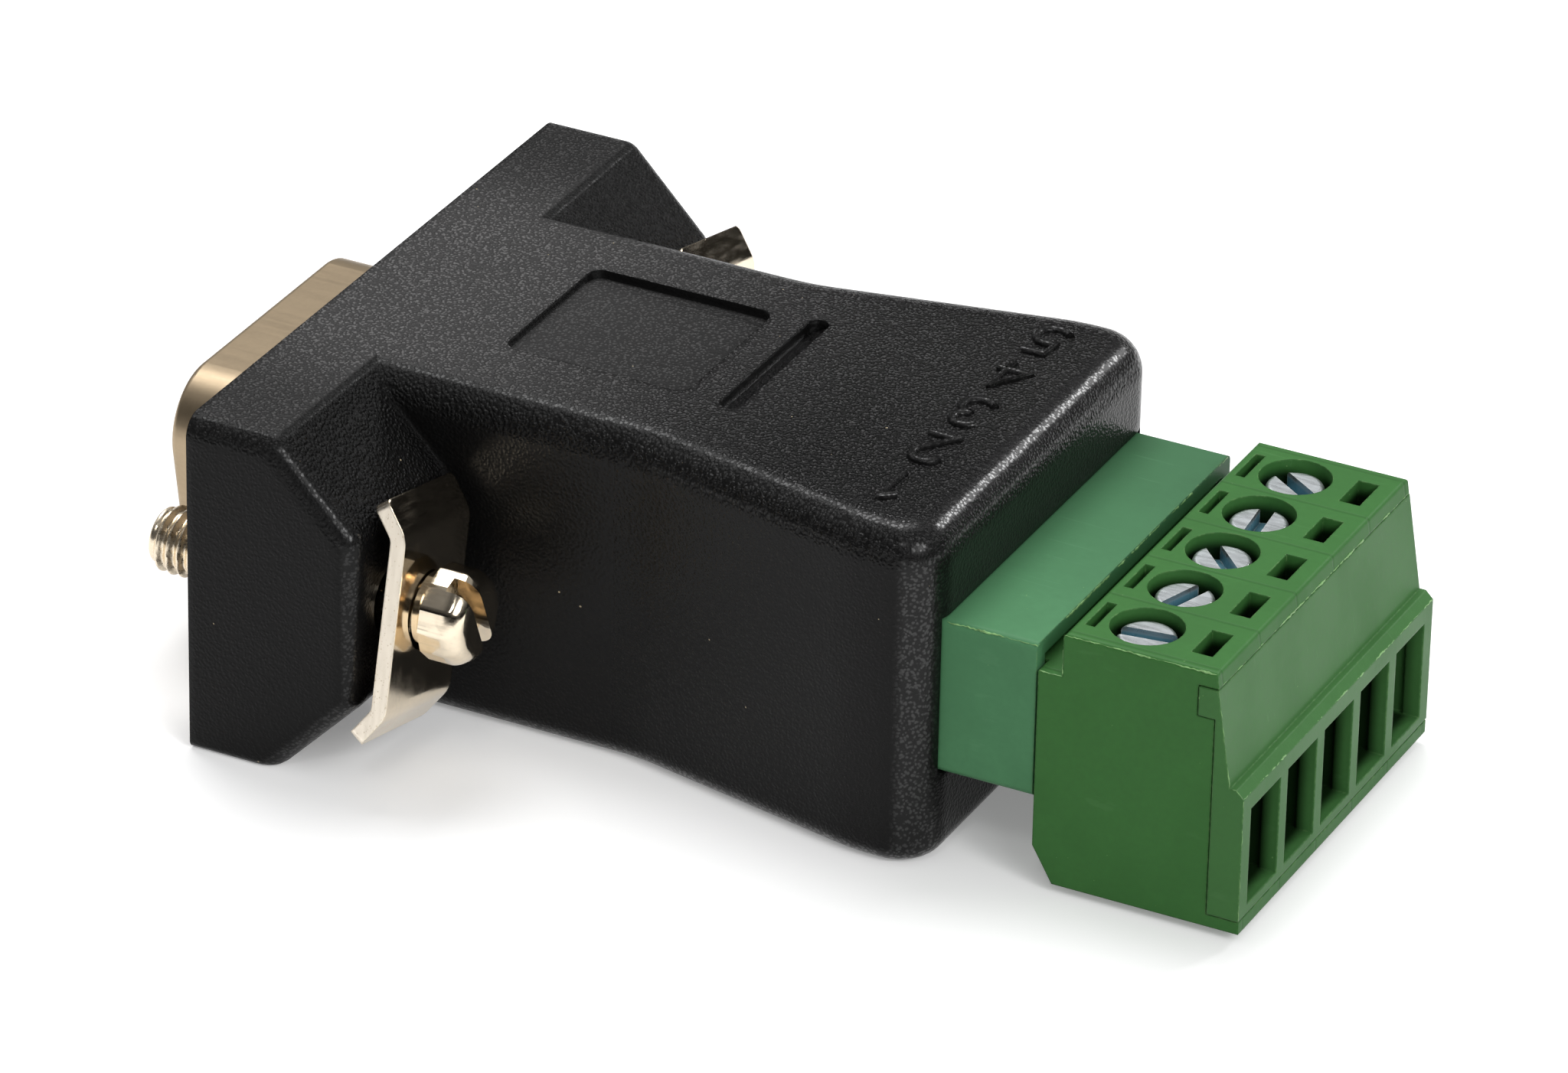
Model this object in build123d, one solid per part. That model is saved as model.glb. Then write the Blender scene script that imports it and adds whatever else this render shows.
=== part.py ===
from build123d import *
import math
import os

os.makedirs("parts", exist_ok=True)

# A nine-way D-sub adapter with a five-pole plug-in screw terminal block, in millimetres.
# X runs from the D-sub face to the wire entries, Y across the poles and Z up.
# The sizes below have X = 0 at the hood's front face and Z = 0 at the D-sub's axis.
# Every piece is moved at the end, so that the origin is under the middle of the adapter.

# Poles
pole_count = 5
pole_pitch = 3.5

# Clearances
seat_gap = 0.1
slide_gap = 0.15
running_gap = 0.08
joint_gap = 0.12
seam_gap = 0.06

# Tolerance for picking edges by where they lie
pick_range = 0.001

# Hood
hood_length = 30.5
hood_wall = 1.1
rim_above_flange = 1.165
rim_beside_flange = 0.76
room_beside_tails = 0.96
end_wall = 1.4
end_side_wall = 1.38
flare_length = 11.0
end_straight = 3.3
flare_radius = 9.0
top_rounding = 1.6
bottom_rounding = 1.0
end_corner_radius = 2.0
ear_edge = 3.95
ear_back = 7.65
ear_flat_height = 7.46
ear_rounding = 0.9
ear_bottom_rounding = 0.35
label_start = 8.0
label_length = 8.3
label_width = 7.9
label_depth = 0.4
label_corner = 0.6
groove_centre = 18.3
groove_width = 0.95
groove_length = 8.6
groove_depth = 0.6

# D-sub connector
flange_recess = 0.7
flange_thickness = 0.5
flange_span = 29.4
flange_height = 12.55
flange_corner = 1.2
screw_spacing = 24.99
shell_reach = 6.1
shell_side_room = 2.66
shell_height = 7.9
shell_corner = 2.6
shell_sheet = 0.4
shell_rim_rounding = 0.28
shell_taper = 10.0
rear_width = 19.2
rear_height = 10.8
rear_depth = 2.5
rear_sheet = 0.5
rear_corner = 3.0
rear_lip = 0.7
insulator_tail = 0.7
socket_pitch = 2.77
socket_row_gap = 2.84
long_row_count = 5
short_row_count = 4
socket_radius = 0.8
socket_bore = 0.52
socket_bore_depth = 5.0
socket_inset = 0.5
entry_radius = 0.58
tail_radius = 0.55
tail_length = 2.7

# Jack screws and their retainer plates
jack_thread_radius = 1.42
jack_thread_reach = 3.12
jack_tip_rounding = 0.8
jack_shank_radius = 1.1
jack_head_radius = 1.88
jack_head_length = 1.85
jack_head_rounding = 0.9
jack_head_bevel = 0.25
jack_neck_radius = 1.55
jack_neck_length = 0.25
jack_slot_width = 1.0
jack_slot_depth = 1.15
jack_slot_turn = 23.0
plate_stand_off = 0.98
plate_thickness = 0.67
plate_width = 5.5
plate_flat = 7.56
plate_wing = 1.72
plate_bend_angle = 36.0
plate_bend_radius = 0.5
plate_corner = 0.3
plate_turn = -13.0
plate_drop = 0.33

# Circuit board and what it carries
board_thickness = 1.6
board_start_gap = 0.4
board_neck_gap = 0.65
board_end_gap = 0.9
chip_height = 1.5
chip_width = 3.9
chip_stand_off = 0.1
chip_lead_pitch = 1.27
chip_lead_width = 0.42
chip_lead_thickness = 0.2
chip_lead_reach = 1.05
driver_lead_pairs = 8
driver_gap = 2.1
transceiver_lead_pairs = 4
transceiver_gap = 2.5
capacitor_length = 2.0
capacitor_width = 1.25
capacitor_height = 0.9
capacitor_gap = 1.92
capacitor_spacing = 2.5
capacitor_count = 4

# Pin header
header_reach = 4.0
header_length = 8.6
header_end_room = 2.02
header_low = -3.47
header_high = 3.42
header_wall = 0.75
header_back_wall = 1.2
header_rounding = 0.3
pin_size = 0.9
pin_reach = 6.7
pin_overlap = 4.0
pin_point = 0.25

# Plug
plug_end_room = 2.125
plug_top = 4.27
plug_bottom = -7.09
plug_body_length = 7.58
plug_chamfer_x = 0.9
plug_chamfer_z = 1.55
step_depth = 1.04
step_floor = 2.35
nose_length = 6.6
plug_floor = 0.54
lip_height = 0.67
lip_slant = 0.1
plug_rounding = 0.2

# Front cover with the wire entries
cover_depth = 1.42
cover_extra_width = 0.06
ledge_height = -0.62
ledge_chamfer = 0.34
slant_foot = 0.8
slant_head = 0.14
hook_depth = 0.68
hook_height = 1.32
window_width = 2.8
window_high = -1.72
window_low = -6.08
window_frame = 0.75
cell_width = 3.1

# Slots and screw holes in the plug's top
screw_hole_radius = 1.5
screw_axis = 3.64
front_slot_setback = 1.6
front_slot_depth_x = 0.9
front_slot_width = 1.95
front_slot_depth = 2.2
rear_slot_start = 1.43
rear_slot_depth_x = 0.42
rear_slot_width = 2.05
rear_slot_depth = 1.2

# Terminal screws, rising clamp cages and contacts
terminal_head_radius = 1.2
terminal_head_height = 1.7
terminal_head_recess = 0.36
terminal_shaft_radius = 0.9
terminal_slot_width = 0.66
terminal_slot_depth = 0.7
terminal_head_rounding = 0.2
terminal_slot_turns = (8, 72, -46, 96, -35)
cage_depth = 2.9
cage_width = 2.5
cage_wall = 0.3
cage_floor = 0.7
cage_nut = 1.35
cage_travel = 2.4
cage_gap = 0.15
wire_space = 3.0
wire_passage_width = 2.6
contact_thickness = 0.6
contact_width = 1.7
contact_end_gap = 0.35
spring_arm = 0.35
spring_height = 1.0
spring_length = 5.2
spring_base = 0.9

# Sizes and places worked out from the sizes above
socket_span = (long_row_count - 1) * socket_pitch
pole_span = (pole_count - 1) * pole_pitch
hood_height = flange_height + 2 * (seat_gap + rim_above_flange)
ear_span = flange_span + 2 * (seat_gap + rim_beside_flange)
shell_width = socket_span + 2 * shell_side_room
neck_width = socket_span + 2 * (tail_radius + room_beside_tails + hood_wall)
header_width = pole_span + 2 * header_end_room
plug_width = pole_span + 2 * plug_end_room
end_width = header_width + 2 * (seat_gap + end_side_wall)
flare_end = hood_length - end_straight
flare_start = flare_end - flare_length
header_front = hood_length + header_reach
screw_y = screw_spacing / 2
flange_back = flange_recess + 2 * flange_thickness
shell_front = flange_recess - shell_reach
rear_end = flange_recess + flange_thickness + rear_depth
insulator_end = rear_end + insulator_tail
tail_end = insulator_end + tail_length
board_start = insulator_end + board_start_gap
board_neck_width = neck_width - 2 * (hood_wall + board_neck_gap)
board_end_width = end_width - 2 * (hood_wall + board_end_gap)
board_top = board_thickness / 2
driver_start = tail_end + driver_gap
transceiver_start = tail_end + transceiver_gap
capacitor_start = transceiver_start + transceiver_lead_pairs * chip_lead_pitch + capacitor_gap
header_back = header_front - header_length
plate_inner = ear_back + plate_stand_off
plate_outer = plate_inner + plate_thickness
jack_neck_start = plate_outer + running_gap
plug_back = header_front + joint_gap
plug_step = plug_back + step_depth
plug_seam = plug_back + plug_body_length
plug_front = plug_seam + cover_depth
pin_z = board_top + pin_size / 2
screw_x = plug_back + screw_axis
head_top = plug_top - terminal_head_recess
head_bottom = head_top - terminal_head_height
cage_room_top = head_bottom - running_gap
nut_top = cage_room_top - running_gap - cage_travel
nut_bottom = nut_top - cage_nut
bar_top = nut_bottom - seat_gap
bar_bottom = bar_top - contact_thickness
cage_floor_top = bar_bottom - wire_space
cage_bottom = cage_floor_top - cage_floor
cage_start = screw_x - cage_depth / 2
cage_end = screw_x + cage_depth / 2
riser_end = cage_start - 2 * cage_gap - contact_thickness / 2
riser_start = riser_end - contact_thickness
spring_tip = riser_end - spring_base - spring_length

origin_shift = Pos(-(shell_front + plug_front) / 2, 0, hood_height / 2)


def pole_places():
    return [(index - (pole_count - 1) / 2) * pole_pitch for index in range(pole_count)]


def block(low, high):
    """A box from its lowest corner to its highest corner."""
    size = [b - a for a, b in zip(low, high)]
    return Pos(*low) * Box(*size, align=(Align.MIN, Align.MIN, Align.MIN))


def along_x(face, start, end):
    """A face drawn in Y and Z, drawn out from one X to another."""
    return extrude(Plane.YZ.offset(start) * face, amount=end - start)


def across_y(points, width):
    """A side profile of X and Z points, drawn out to both sides of Y = 0."""
    return extrude(Plane.XZ * make_face(Polyline(*points, close=True)), amount=width / 2, both=True)


def rod_x(radius, start, end, y=0.0, z=0.0):
    return along_x(Pos(y, z) * Circle(radius), start, end)


def rod_z(radius, low, high, x, y):
    return Pos(x, y, low) * Cylinder(radius, high - low, align=(Align.CENTER, Align.CENTER, Align.MIN))


def turned_x(points):
    """A turned piece on the X axis, from its outline of X and radius points."""
    return revolve(make_face(Polyline(*points, close=True)), axis=Axis.X)


# Hood

def hood_outline(start, end, inset):
    """The hood's plan: a straight neck that flares to the header end."""
    neck = neck_width / 2 - inset
    wide = end_width / 2 - inset
    side = [(start, neck), (flare_start, neck), (flare_end, wide), (end, wide)]
    other = [(x, -y) for x, y in reversed(side)]
    face = make_face(Polyline(*side, *other, close=True))
    bends = [v for v in face.vertices() if min(abs(v.X - flare_start), abs(v.X - flare_end)) < pick_range]
    return fillet(bends, flare_radius)


def hood_body():
    body = extrude(hood_outline(0, hood_length, 0), amount=hood_height / 2, both=True)
    corners = body.edges().filter_by(Axis.Z).group_by(Axis.X)[-1]
    body = fillet(corners, end_corner_radius)
    for height, rounding in ((hood_height / 2, top_rounding), (-hood_height / 2, bottom_rounding)):
        rim = [e for e in body.edges() if abs(e.center().Z - height) < pick_range and e.center().X > pick_range]
        body = fillet(rim, rounding)
    return body


def is_ear_foot(edge):
    """True for the two bottom edges along the ears' ends, which are rounded less than the rest."""
    middle = edge.center()
    return middle.Z < pick_range - hood_height / 2 and abs(middle.Y) > ear_span / 2 - pick_range


def hood_ears():
    top, flat = hood_height / 2, ear_flat_height / 2
    profile = [(0, -top), (ear_edge, -top), (ear_back, -flat), (ear_back, flat), (ear_edge, top), (0, top)]
    ears = across_y(profile, ear_span)
    back_edges = [e for e in ears.edges() if e.center().X > pick_range]
    ears = fillet([e for e in back_edges if not is_ear_foot(e)], ear_rounding)
    return fillet([e for e in ears.edges() if is_ear_foot(e)], ear_bottom_rounding)


def label_groove():
    """A groove across the top, deepest on the label's side, whose floor slopes up to the other side."""
    top = hood_height / 2
    start, end = groove_centre - groove_width / 2, groove_centre + groove_width / 2
    outline = Rot(0, 0, 90) * SlotOverall(groove_length, groove_width)
    slot = extrude(Pos(groove_centre, 0, top) * outline, amount=-groove_depth)
    wedge = [(start, top), (start, top - groove_depth), (end - groove_depth / 2, top - groove_depth / 2), (end, top)]
    return slot & across_y(wedge, groove_length)


def hood():
    """One moulding: two ears, a neck and a flared end, hollow from the D-sub pocket to the header."""
    piece = hood_body() + hood_ears()
    pocket = Rectangle(flange_span + 2 * seat_gap, flange_height + 2 * seat_gap)
    piece -= along_x(fillet(pocket.vertices(), flange_corner), 0, flange_back)
    rear_room = d_face(rear_width + 4 * seat_gap, rear_height + 2 * seat_gap, rear_corner)
    piece -= along_x(rear_room, flange_back, rear_end + 2 * seat_gap)
    tail_room = d_face(rear_width - 2 * rear_lip, rear_height - 2 * rear_lip, rear_corner)
    piece -= along_x(tail_room, flange_back, insulator_end + 2 * seat_gap)
    room = hood_outline(rear_end, hood_length - end_wall, hood_wall)
    piece -= extrude(room, amount=hood_height / 2 - hood_wall, both=True)
    mouth_low = (hood_length - 2 * end_wall, -header_width / 2 - seat_gap, header_low - seat_gap)
    mouth_high = (hood_length + end_wall, header_width / 2 + seat_gap, header_high + seat_gap)
    piece -= block(mouth_low, mouth_high)
    for side in (-1, 1):
        piece -= rod_x(jack_thread_radius + running_gap, 0, ear_back, side * screw_y)
    label = Rectangle(label_length, label_width)
    label = Pos(label_start + label_length / 2, 0, hood_height / 2) * fillet(label.vertices(), label_corner)
    piece -= extrude(label, amount=-label_depth)
    return piece - label_groove()


# D-sub connector

def d_face(width, height, corner):
    """The D outline in Y and Z, with its wide side up."""
    inset = height * math.tan(math.radians(shell_taper))
    right, up = width / 2, height / 2
    outline = Polyline((-right, up), (right, up), (right - inset, -up), (inset - right, -up), close=True)
    face = make_face(outline)
    return fillet(face.vertices(), corner)


def flange(start):
    plate = Rectangle(flange_span, flange_height)
    plate = fillet(plate.vertices(), flange_corner)
    for side in (-1, 1):
        plate -= Pos(side * screw_y, 0) * Circle(jack_shank_radius + seat_gap)
    return along_x(plate, start, start + flange_thickness)


def dsub_front_shell():
    piece = flange(flange_recess)
    piece += along_x(d_face(shell_width, shell_height, shell_corner), shell_front, flange_recess)
    rim = piece.faces().sort_by(Axis.X)[0].edges()
    piece = fillet(rim, shell_rim_rounding)
    inner = d_face(shell_width - 2 * shell_sheet, shell_height - 2 * shell_sheet, shell_corner - shell_sheet)
    return piece - along_x(inner, shell_front, flange_back)


def dsub_rear_shell():
    start = flange_recess + flange_thickness
    piece = flange(start) + along_x(d_face(rear_width, rear_height, rear_corner), start, rear_end)
    room = d_face(rear_width - 2 * rear_sheet, rear_height - 2 * rear_sheet, rear_corner - rear_sheet)
    piece -= along_x(room, start, rear_end - rear_sheet)
    back = d_face(rear_width - 4 * rear_lip, rear_height - 4 * rear_lip, rear_corner - rear_lip)
    return piece - along_x(back, start, rear_end)


def socket_places():
    """Y and Z of each socket: the long row above, the short row below."""
    places = []
    for count, z in ((long_row_count, socket_row_gap / 2), (short_row_count, -socket_row_gap / 2)):
        places += [((index - (count - 1) / 2) * socket_pitch, z) for index in range(count)]
    return places


def dsub_insulator():
    trim = shell_sheet + seat_gap / 2
    shoulder = flange_recess + flange_thickness
    front = shell_front + shell_sheet / 2
    tongue = d_face(shell_width - 2 * trim, shell_height - 2 * trim, shell_corner - trim)
    piece = along_x(tongue, front, shoulder)
    trim = rear_sheet + seat_gap / 2
    block_face = d_face(rear_width - 2 * trim, rear_height - 2 * trim, rear_corner - trim)
    piece += along_x(block_face, shoulder, rear_end - rear_sheet)
    trim = 2 * rear_lip + seat_gap / 2
    tail = d_face(rear_width - 2 * trim, rear_height - 2 * trim, rear_corner - rear_lip)
    piece += along_x(tail, shoulder, insulator_end)
    for y, z in socket_places():
        piece -= rod_x(entry_radius, front, front + socket_inset, y, z)
        piece -= rod_x(socket_radius + seat_gap / 5, front + socket_inset, insulator_end, y, z)
    return piece


def socket_contact(y, z):
    front = shell_front + shell_sheet / 2 + socket_inset
    piece = rod_x(socket_radius, front, insulator_end, y, z)
    piece -= rod_x(socket_bore, front, front + socket_bore_depth, y, z)
    return piece + rod_x(tail_radius, insulator_end, insulator_end + tail_length, y, z)


# Jack screws and retainer plates

def jack_screw(side):
    tip = -jack_thread_reach
    head = jack_neck_start + jack_neck_length
    end = head + jack_head_length
    outline = [
        (tip, 0),
        (tip, jack_thread_radius),
        (0, jack_thread_radius),
        (jack_thread_radius - jack_shank_radius, jack_shank_radius),
        (jack_neck_start, jack_shank_radius),
        (jack_neck_start, jack_neck_radius),
        (head, jack_neck_radius),
        (head + jack_head_bevel, jack_head_radius),
        (end, jack_head_radius),
        (end, 0),
    ]
    slot_low = (end - jack_slot_depth, -jack_slot_width / 2, -jack_head_radius)
    slot_high = (end, jack_slot_width / 2, jack_head_radius)
    piece = turned_x(outline)
    rims = piece.edges().filter_by(GeomType.CIRCLE).sort_by(Axis.X)
    piece = fillet(rims[0], jack_tip_rounding)
    rims = piece.edges().filter_by(GeomType.CIRCLE).sort_by(Axis.X)
    piece = fillet(rims[-1], jack_head_rounding)
    piece -= Rot(jack_slot_turn, 0, 0) * block(slot_low, slot_high)
    return Pos(0, side * screw_y, 0) * piece


def retainer_plate(side):
    """A strip of sheet whose two wings are bent towards the ear."""
    bend = math.radians(plate_bend_angle)
    fold = plate_flat / 2
    inner_fold = fold - plate_thickness * math.tan(bend / 2)
    along = (-math.sin(bend), math.cos(bend))
    into = (-math.cos(bend), -math.sin(bend))
    tip = (plate_outer + plate_wing * along[0], fold + plate_wing * along[1])
    inner_tip = (tip[0] + plate_thickness * into[0], tip[1] + plate_thickness * into[1])
    half = [(plate_outer, fold), tip, inner_tip, (plate_inner, inner_fold)]
    other = [(x, -z) for x, z in reversed(half)]
    profile = make_face(Polyline(*half, *other, close=True))
    outer = [v for v in profile.vertices() if abs(v.X - plate_outer) < pick_range]
    profile = fillet(outer, plate_bend_radius + plate_thickness)
    inner = [v for v in profile.vertices() if abs(v.X - plate_inner) < pick_range]
    profile = fillet(inner, plate_bend_radius)
    piece = extrude(Plane.XZ * profile, amount=plate_width / 2, both=True)
    wing_edges = [e for e in piece.edges() if abs(e.center().Z) > fold]
    piece = fillet([e for e in wing_edges if abs(e.length - plate_thickness) < pick_range], plate_corner)
    piece -= rod_x(jack_thread_radius + running_gap, plate_inner, plate_outer)
    return Pos(0, side * screw_y, -plate_drop) * Rot(plate_turn, 0, 0) * piece


# Circuit board

def circuit_board():
    neck, wide = board_neck_width / 2, board_end_width / 2
    widen_start, widen_end = flare_start, header_back - pin_overlap / 2
    side = [(board_start, neck), (widen_start, neck), (widen_end, wide), (header_back, wide)]
    other = [(x, -y) for x, y in reversed(side)]
    outline = make_face(Polyline(*side, *other, close=True))
    return extrude(outline, amount=board_thickness / 2, both=True)


def chip(lead_pairs, start, up):
    """A surface-mounted chip lying along X, on the board's top (up = 1) or underside (up = -1)."""
    length = lead_pairs * chip_lead_pitch
    low = board_top + chip_stand_off
    piece = block((start, -chip_width / 2, low), (start + length, chip_width / 2, low + chip_height))
    knee = low + chip_height / 2
    outer = chip_width / 2 + chip_lead_reach
    foot = outer - chip_lead_reach / 2
    profile = [
        (chip_width / 2, knee), (foot, knee), (foot, board_top), (outer, board_top),
        (outer, board_top + chip_lead_thickness), (foot + chip_lead_thickness, board_top + chip_lead_thickness),
        (foot + chip_lead_thickness, knee + chip_lead_thickness), (chip_width / 2, knee + chip_lead_thickness),
    ]
    lead = make_face(Polyline(*profile, close=True))
    for index in range(lead_pairs):
        middle = start + (index + 0.5) * chip_lead_pitch
        one = along_x(lead, middle - chip_lead_width / 2, middle + chip_lead_width / 2)
        piece += one + mirror(one, Plane.XZ)
    return piece if up > 0 else Rot(180, 0, 0) * piece


def chip_capacitor(index):
    """One ceramic chip capacitor, across the board behind the chip and between two header pins."""
    x = capacitor_start + (index // 2) * capacitor_spacing
    y = (index % 2 - 0.5) * pole_pitch
    low = (x, y - capacitor_length / 2, board_top)
    high = (x + capacitor_width, y + capacitor_length / 2, board_top + capacitor_height)
    return block(low, high)


def chip_capacitors():
    return Compound(children=[chip_capacitor(index) for index in range(capacitor_count)])


# Pin header

def header_shroud():
    low = (header_back, -header_width / 2, header_low)
    high = (header_front, header_width / 2, header_high)
    piece = block(low, high)
    piece = fillet(piece.edges().filter_by(Axis.X), header_rounding)
    room_low = (header_back + header_back_wall, header_wall - header_width / 2, header_low + header_wall)
    room_high = (header_front, header_width / 2 - header_wall, header_high - header_wall)
    piece -= block(room_low, room_high)
    half = pin_size / 2 + seat_gap / 5
    for y in pole_places():
        piece -= block((header_back, y - half, pin_z - half), (header_back + header_back_wall, y + half, pin_z + half))
    return piece


def header_pin(y):
    half = pin_size / 2
    start = header_back - pin_overlap
    end = header_back + header_back_wall + pin_reach
    piece = block((start, y - half, pin_z - half), (end, y + half, pin_z + half))
    return chamfer(piece.faces().sort_by(Axis.X)[-1].edges(), pin_point)


# Plug

def plug_housing():
    profile = [
        (plug_back, plug_bottom + plug_chamfer_z),
        (plug_back + plug_chamfer_x, plug_bottom),
        (plug_front, plug_bottom),
        (plug_front, plug_bottom + plug_floor),
        (plug_seam, plug_bottom + plug_floor),
        (plug_seam, plug_top - lip_height),
        (plug_seam + slant_head, plug_top - lip_height),
        (plug_seam + slant_head - lip_slant, plug_top),
        (plug_step, plug_top),
        (plug_step, step_floor),
        (plug_back, step_floor),
    ]
    piece = across_y(profile, plug_width)
    top_edges = [e for e in piece.edges() if abs(e.center().Z - plug_top) < pick_range]
    piece = fillet(top_edges, plug_rounding)
    nose_half = header_width / 2 - header_wall - slide_gap
    nose_low = (plug_back - nose_length, -nose_half, header_low + header_wall + slide_gap)
    nose_high = (plug_back, nose_half, step_floor)
    piece += block(nose_low, nose_high)
    hook_low = (plug_seam - hook_depth - seam_gap, -plug_width / 2, plug_top - lip_height - hook_height - seam_gap)
    hook_high = (plug_seam, plug_width / 2, plug_top - lip_height)
    piece -= block(hook_low, hook_high)
    for y in pole_places():
        piece -= pole_room(y)
    return piece


def pole_room(y):
    """What is cut from the housing for one pole."""
    cage_half = cage_width / 2 + cage_gap
    wire_half = wire_passage_width / 2
    strip = contact_width / 2 + seat_gap
    arm = pin_size / 2 + running_gap + spring_arm + seat_gap
    cage_low = (cage_start - cage_gap, y - cage_half, cage_bottom - cage_gap)
    room = block(cage_low, (cage_end + cage_gap, y + cage_half, cage_room_top))
    room += rod_z(screw_hole_radius, cage_room_top, plug_top, screw_x, y)
    room += block((cage_end, y - wire_half, cage_floor_top), (plug_seam, y + wire_half, bar_bottom))
    bar_low = (riser_start - seat_gap, y - strip, bar_bottom - seat_gap)
    room += block(bar_low, (cage_start, y + strip, bar_top + seat_gap))
    pin_low = pin_z - spring_height / 2 - seat_gap
    pin_high = pin_z + spring_height / 2 + seat_gap
    room += block((riser_start - seat_gap, y - strip, bar_bottom), (riser_end + seat_gap, y + strip, pin_high))
    room += block((plug_back - nose_length, y - arm, pin_low), (riser_end, y + arm, pin_high))
    for start, depth_x, width, depth in (
        (plug_body_length - front_slot_setback, front_slot_depth_x, front_slot_width, front_slot_depth),
        (rear_slot_start, rear_slot_depth_x, rear_slot_width, rear_slot_depth),
    ):
        slot_low = (plug_back + start, y - width / 2, plug_top - depth)
        room += block(slot_low, (plug_back + start + depth_x, y + width / 2, plug_top))
    return room


def plug_front_cover():
    """The separate front with its slanted face, its ledge and one wire window for each pole."""
    width = plug_width + 2 * cover_extra_width
    start = plug_seam + seam_gap
    low = plug_bottom + plug_floor + seam_gap
    high = plug_top - lip_height - seam_gap
    hook_low = plug_top - lip_height - hook_height
    profile = [
        (start, low),
        (plug_front, low),
        (plug_front, ledge_height - ledge_chamfer),
        (plug_front - ledge_chamfer, ledge_height),
        (plug_seam + slant_foot, ledge_height),
        (plug_seam + slant_head, high),
        (plug_seam - hook_depth, high),
        (plug_seam - hook_depth, hook_low),
        (start, hook_low),
    ]
    piece = across_y(profile, width)
    for y in pole_places():
        half = window_width / 2
        piece -= block((start, y - half, window_low), (plug_front, y + half, window_high))
        half = cell_width / 2
        cell_high = window_high + (cell_width - window_width) / 2
        piece -= block((start, y - half, window_low), (plug_front - window_frame, y + half, cell_high))
    return piece


def terminal_screw(index, y):
    piece = rod_z(terminal_head_radius, head_bottom, head_top, screw_x, y)
    piece = fillet(piece.edges().sort_by(Axis.Z)[-1], terminal_head_rounding)
    piece += rod_z(terminal_shaft_radius, bar_top + running_gap, head_bottom, screw_x, y)
    slot = Box(2 * terminal_head_radius, terminal_slot_width, 2 * terminal_slot_depth)
    return piece - Pos(screw_x, y, head_top) * Rot(0, 0, terminal_slot_turns[index]) * slot


def clamp_cage(y):
    half = cage_width / 2
    piece = block((cage_start, y - half, cage_bottom), (cage_end, y + half, nut_top))
    inner = half - cage_wall
    piece -= block((cage_start, y - inner, cage_floor_top), (cage_end, y + inner, nut_bottom))
    return piece - rod_z(terminal_shaft_radius + running_gap, nut_bottom, nut_top, screw_x, y)


def contact_spring(y):
    """A current bar that runs under the screw and ends in a fork round the header pin."""
    half = contact_width / 2
    bar_end = cage_end - contact_end_gap
    fork_low = pin_z - spring_height / 2
    fork_high = pin_z + spring_height / 2
    piece = block((riser_start, y - half, bar_bottom), (bar_end, y + half, bar_top))
    piece += block((riser_start, y - half, bar_bottom), (riser_end, y + half, fork_high))
    inner = pin_size / 2 + running_gap
    piece += block((riser_end - spring_base, y - half, fork_low), (riser_end, y + half, fork_high))
    for side in (-1, 1):
        edges = sorted((y + side * inner, y + side * (inner + spring_arm)))
        piece += block((spring_tip, edges[0], fork_low), (riser_end - spring_base, edges[1], fork_high))
    return piece


# Every piece, by the name of its node

def all_pieces():
    pieces = {
        "hood": hood(),
        "dsub_front_shell": dsub_front_shell(),
        "dsub_rear_shell": dsub_rear_shell(),
        "dsub_insulator": dsub_insulator(),
        "circuit_board": circuit_board(),
        "line_driver_chip": chip(driver_lead_pairs, driver_start, -1),
        "transceiver_chip": chip(transceiver_lead_pairs, transceiver_start, 1),
        "chip_capacitors": chip_capacitors(),
        "header_shroud": header_shroud(),
        "plug_housing": plug_housing(),
        "plug_front_cover": plug_front_cover(),
    }
    for number, (y, z) in enumerate(socket_places(), 1):
        pieces[f"socket_contact_{number}"] = socket_contact(y, z)
    for name, side in (("near", -1), ("far", 1)):
        pieces[f"jack_screw_{name}"] = jack_screw(side)
        pieces[f"retainer_plate_{name}"] = retainer_plate(side)
    for index, y in enumerate(pole_places()):
        number = index + 1
        pieces[f"header_pin_{number}"] = header_pin(y)
        pieces[f"terminal_screw_{number}"] = terminal_screw(index, y)
        pieces[f"clamp_cage_{number}"] = clamp_cage(y)
        pieces[f"contact_spring_{number}"] = contact_spring(y)
    return pieces


for name, piece in all_pieces().items():
    export_step(origin_shift * piece, f"parts/{name}.step")
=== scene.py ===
import math
import random

import bmesh
import bpy
from mathutils import Matrix, Vector


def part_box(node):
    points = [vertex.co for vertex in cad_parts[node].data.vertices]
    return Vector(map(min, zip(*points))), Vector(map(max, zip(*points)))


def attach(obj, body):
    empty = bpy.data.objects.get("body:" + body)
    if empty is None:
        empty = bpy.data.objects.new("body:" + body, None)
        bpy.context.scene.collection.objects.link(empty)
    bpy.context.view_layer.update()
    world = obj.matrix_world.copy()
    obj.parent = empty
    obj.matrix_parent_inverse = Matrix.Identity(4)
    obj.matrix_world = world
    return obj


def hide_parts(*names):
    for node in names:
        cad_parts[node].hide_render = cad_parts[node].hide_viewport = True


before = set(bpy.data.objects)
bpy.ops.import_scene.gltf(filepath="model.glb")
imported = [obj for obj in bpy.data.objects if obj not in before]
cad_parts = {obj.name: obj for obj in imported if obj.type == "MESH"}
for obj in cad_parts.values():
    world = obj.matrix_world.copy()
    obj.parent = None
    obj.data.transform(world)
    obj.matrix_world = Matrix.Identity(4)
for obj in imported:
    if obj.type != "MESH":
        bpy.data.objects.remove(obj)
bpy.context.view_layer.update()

bl_info = {
    "name": "D-sub terminal block adapter",
    "version": (1, 0, 0),
    "blender": (4, 5, 0),
    "location": "View3D > Sidebar > Adapter",
    "description": "Finishes a D-sub adapter with a plug-in screw terminal block",
    "category": "Object",
}

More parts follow.
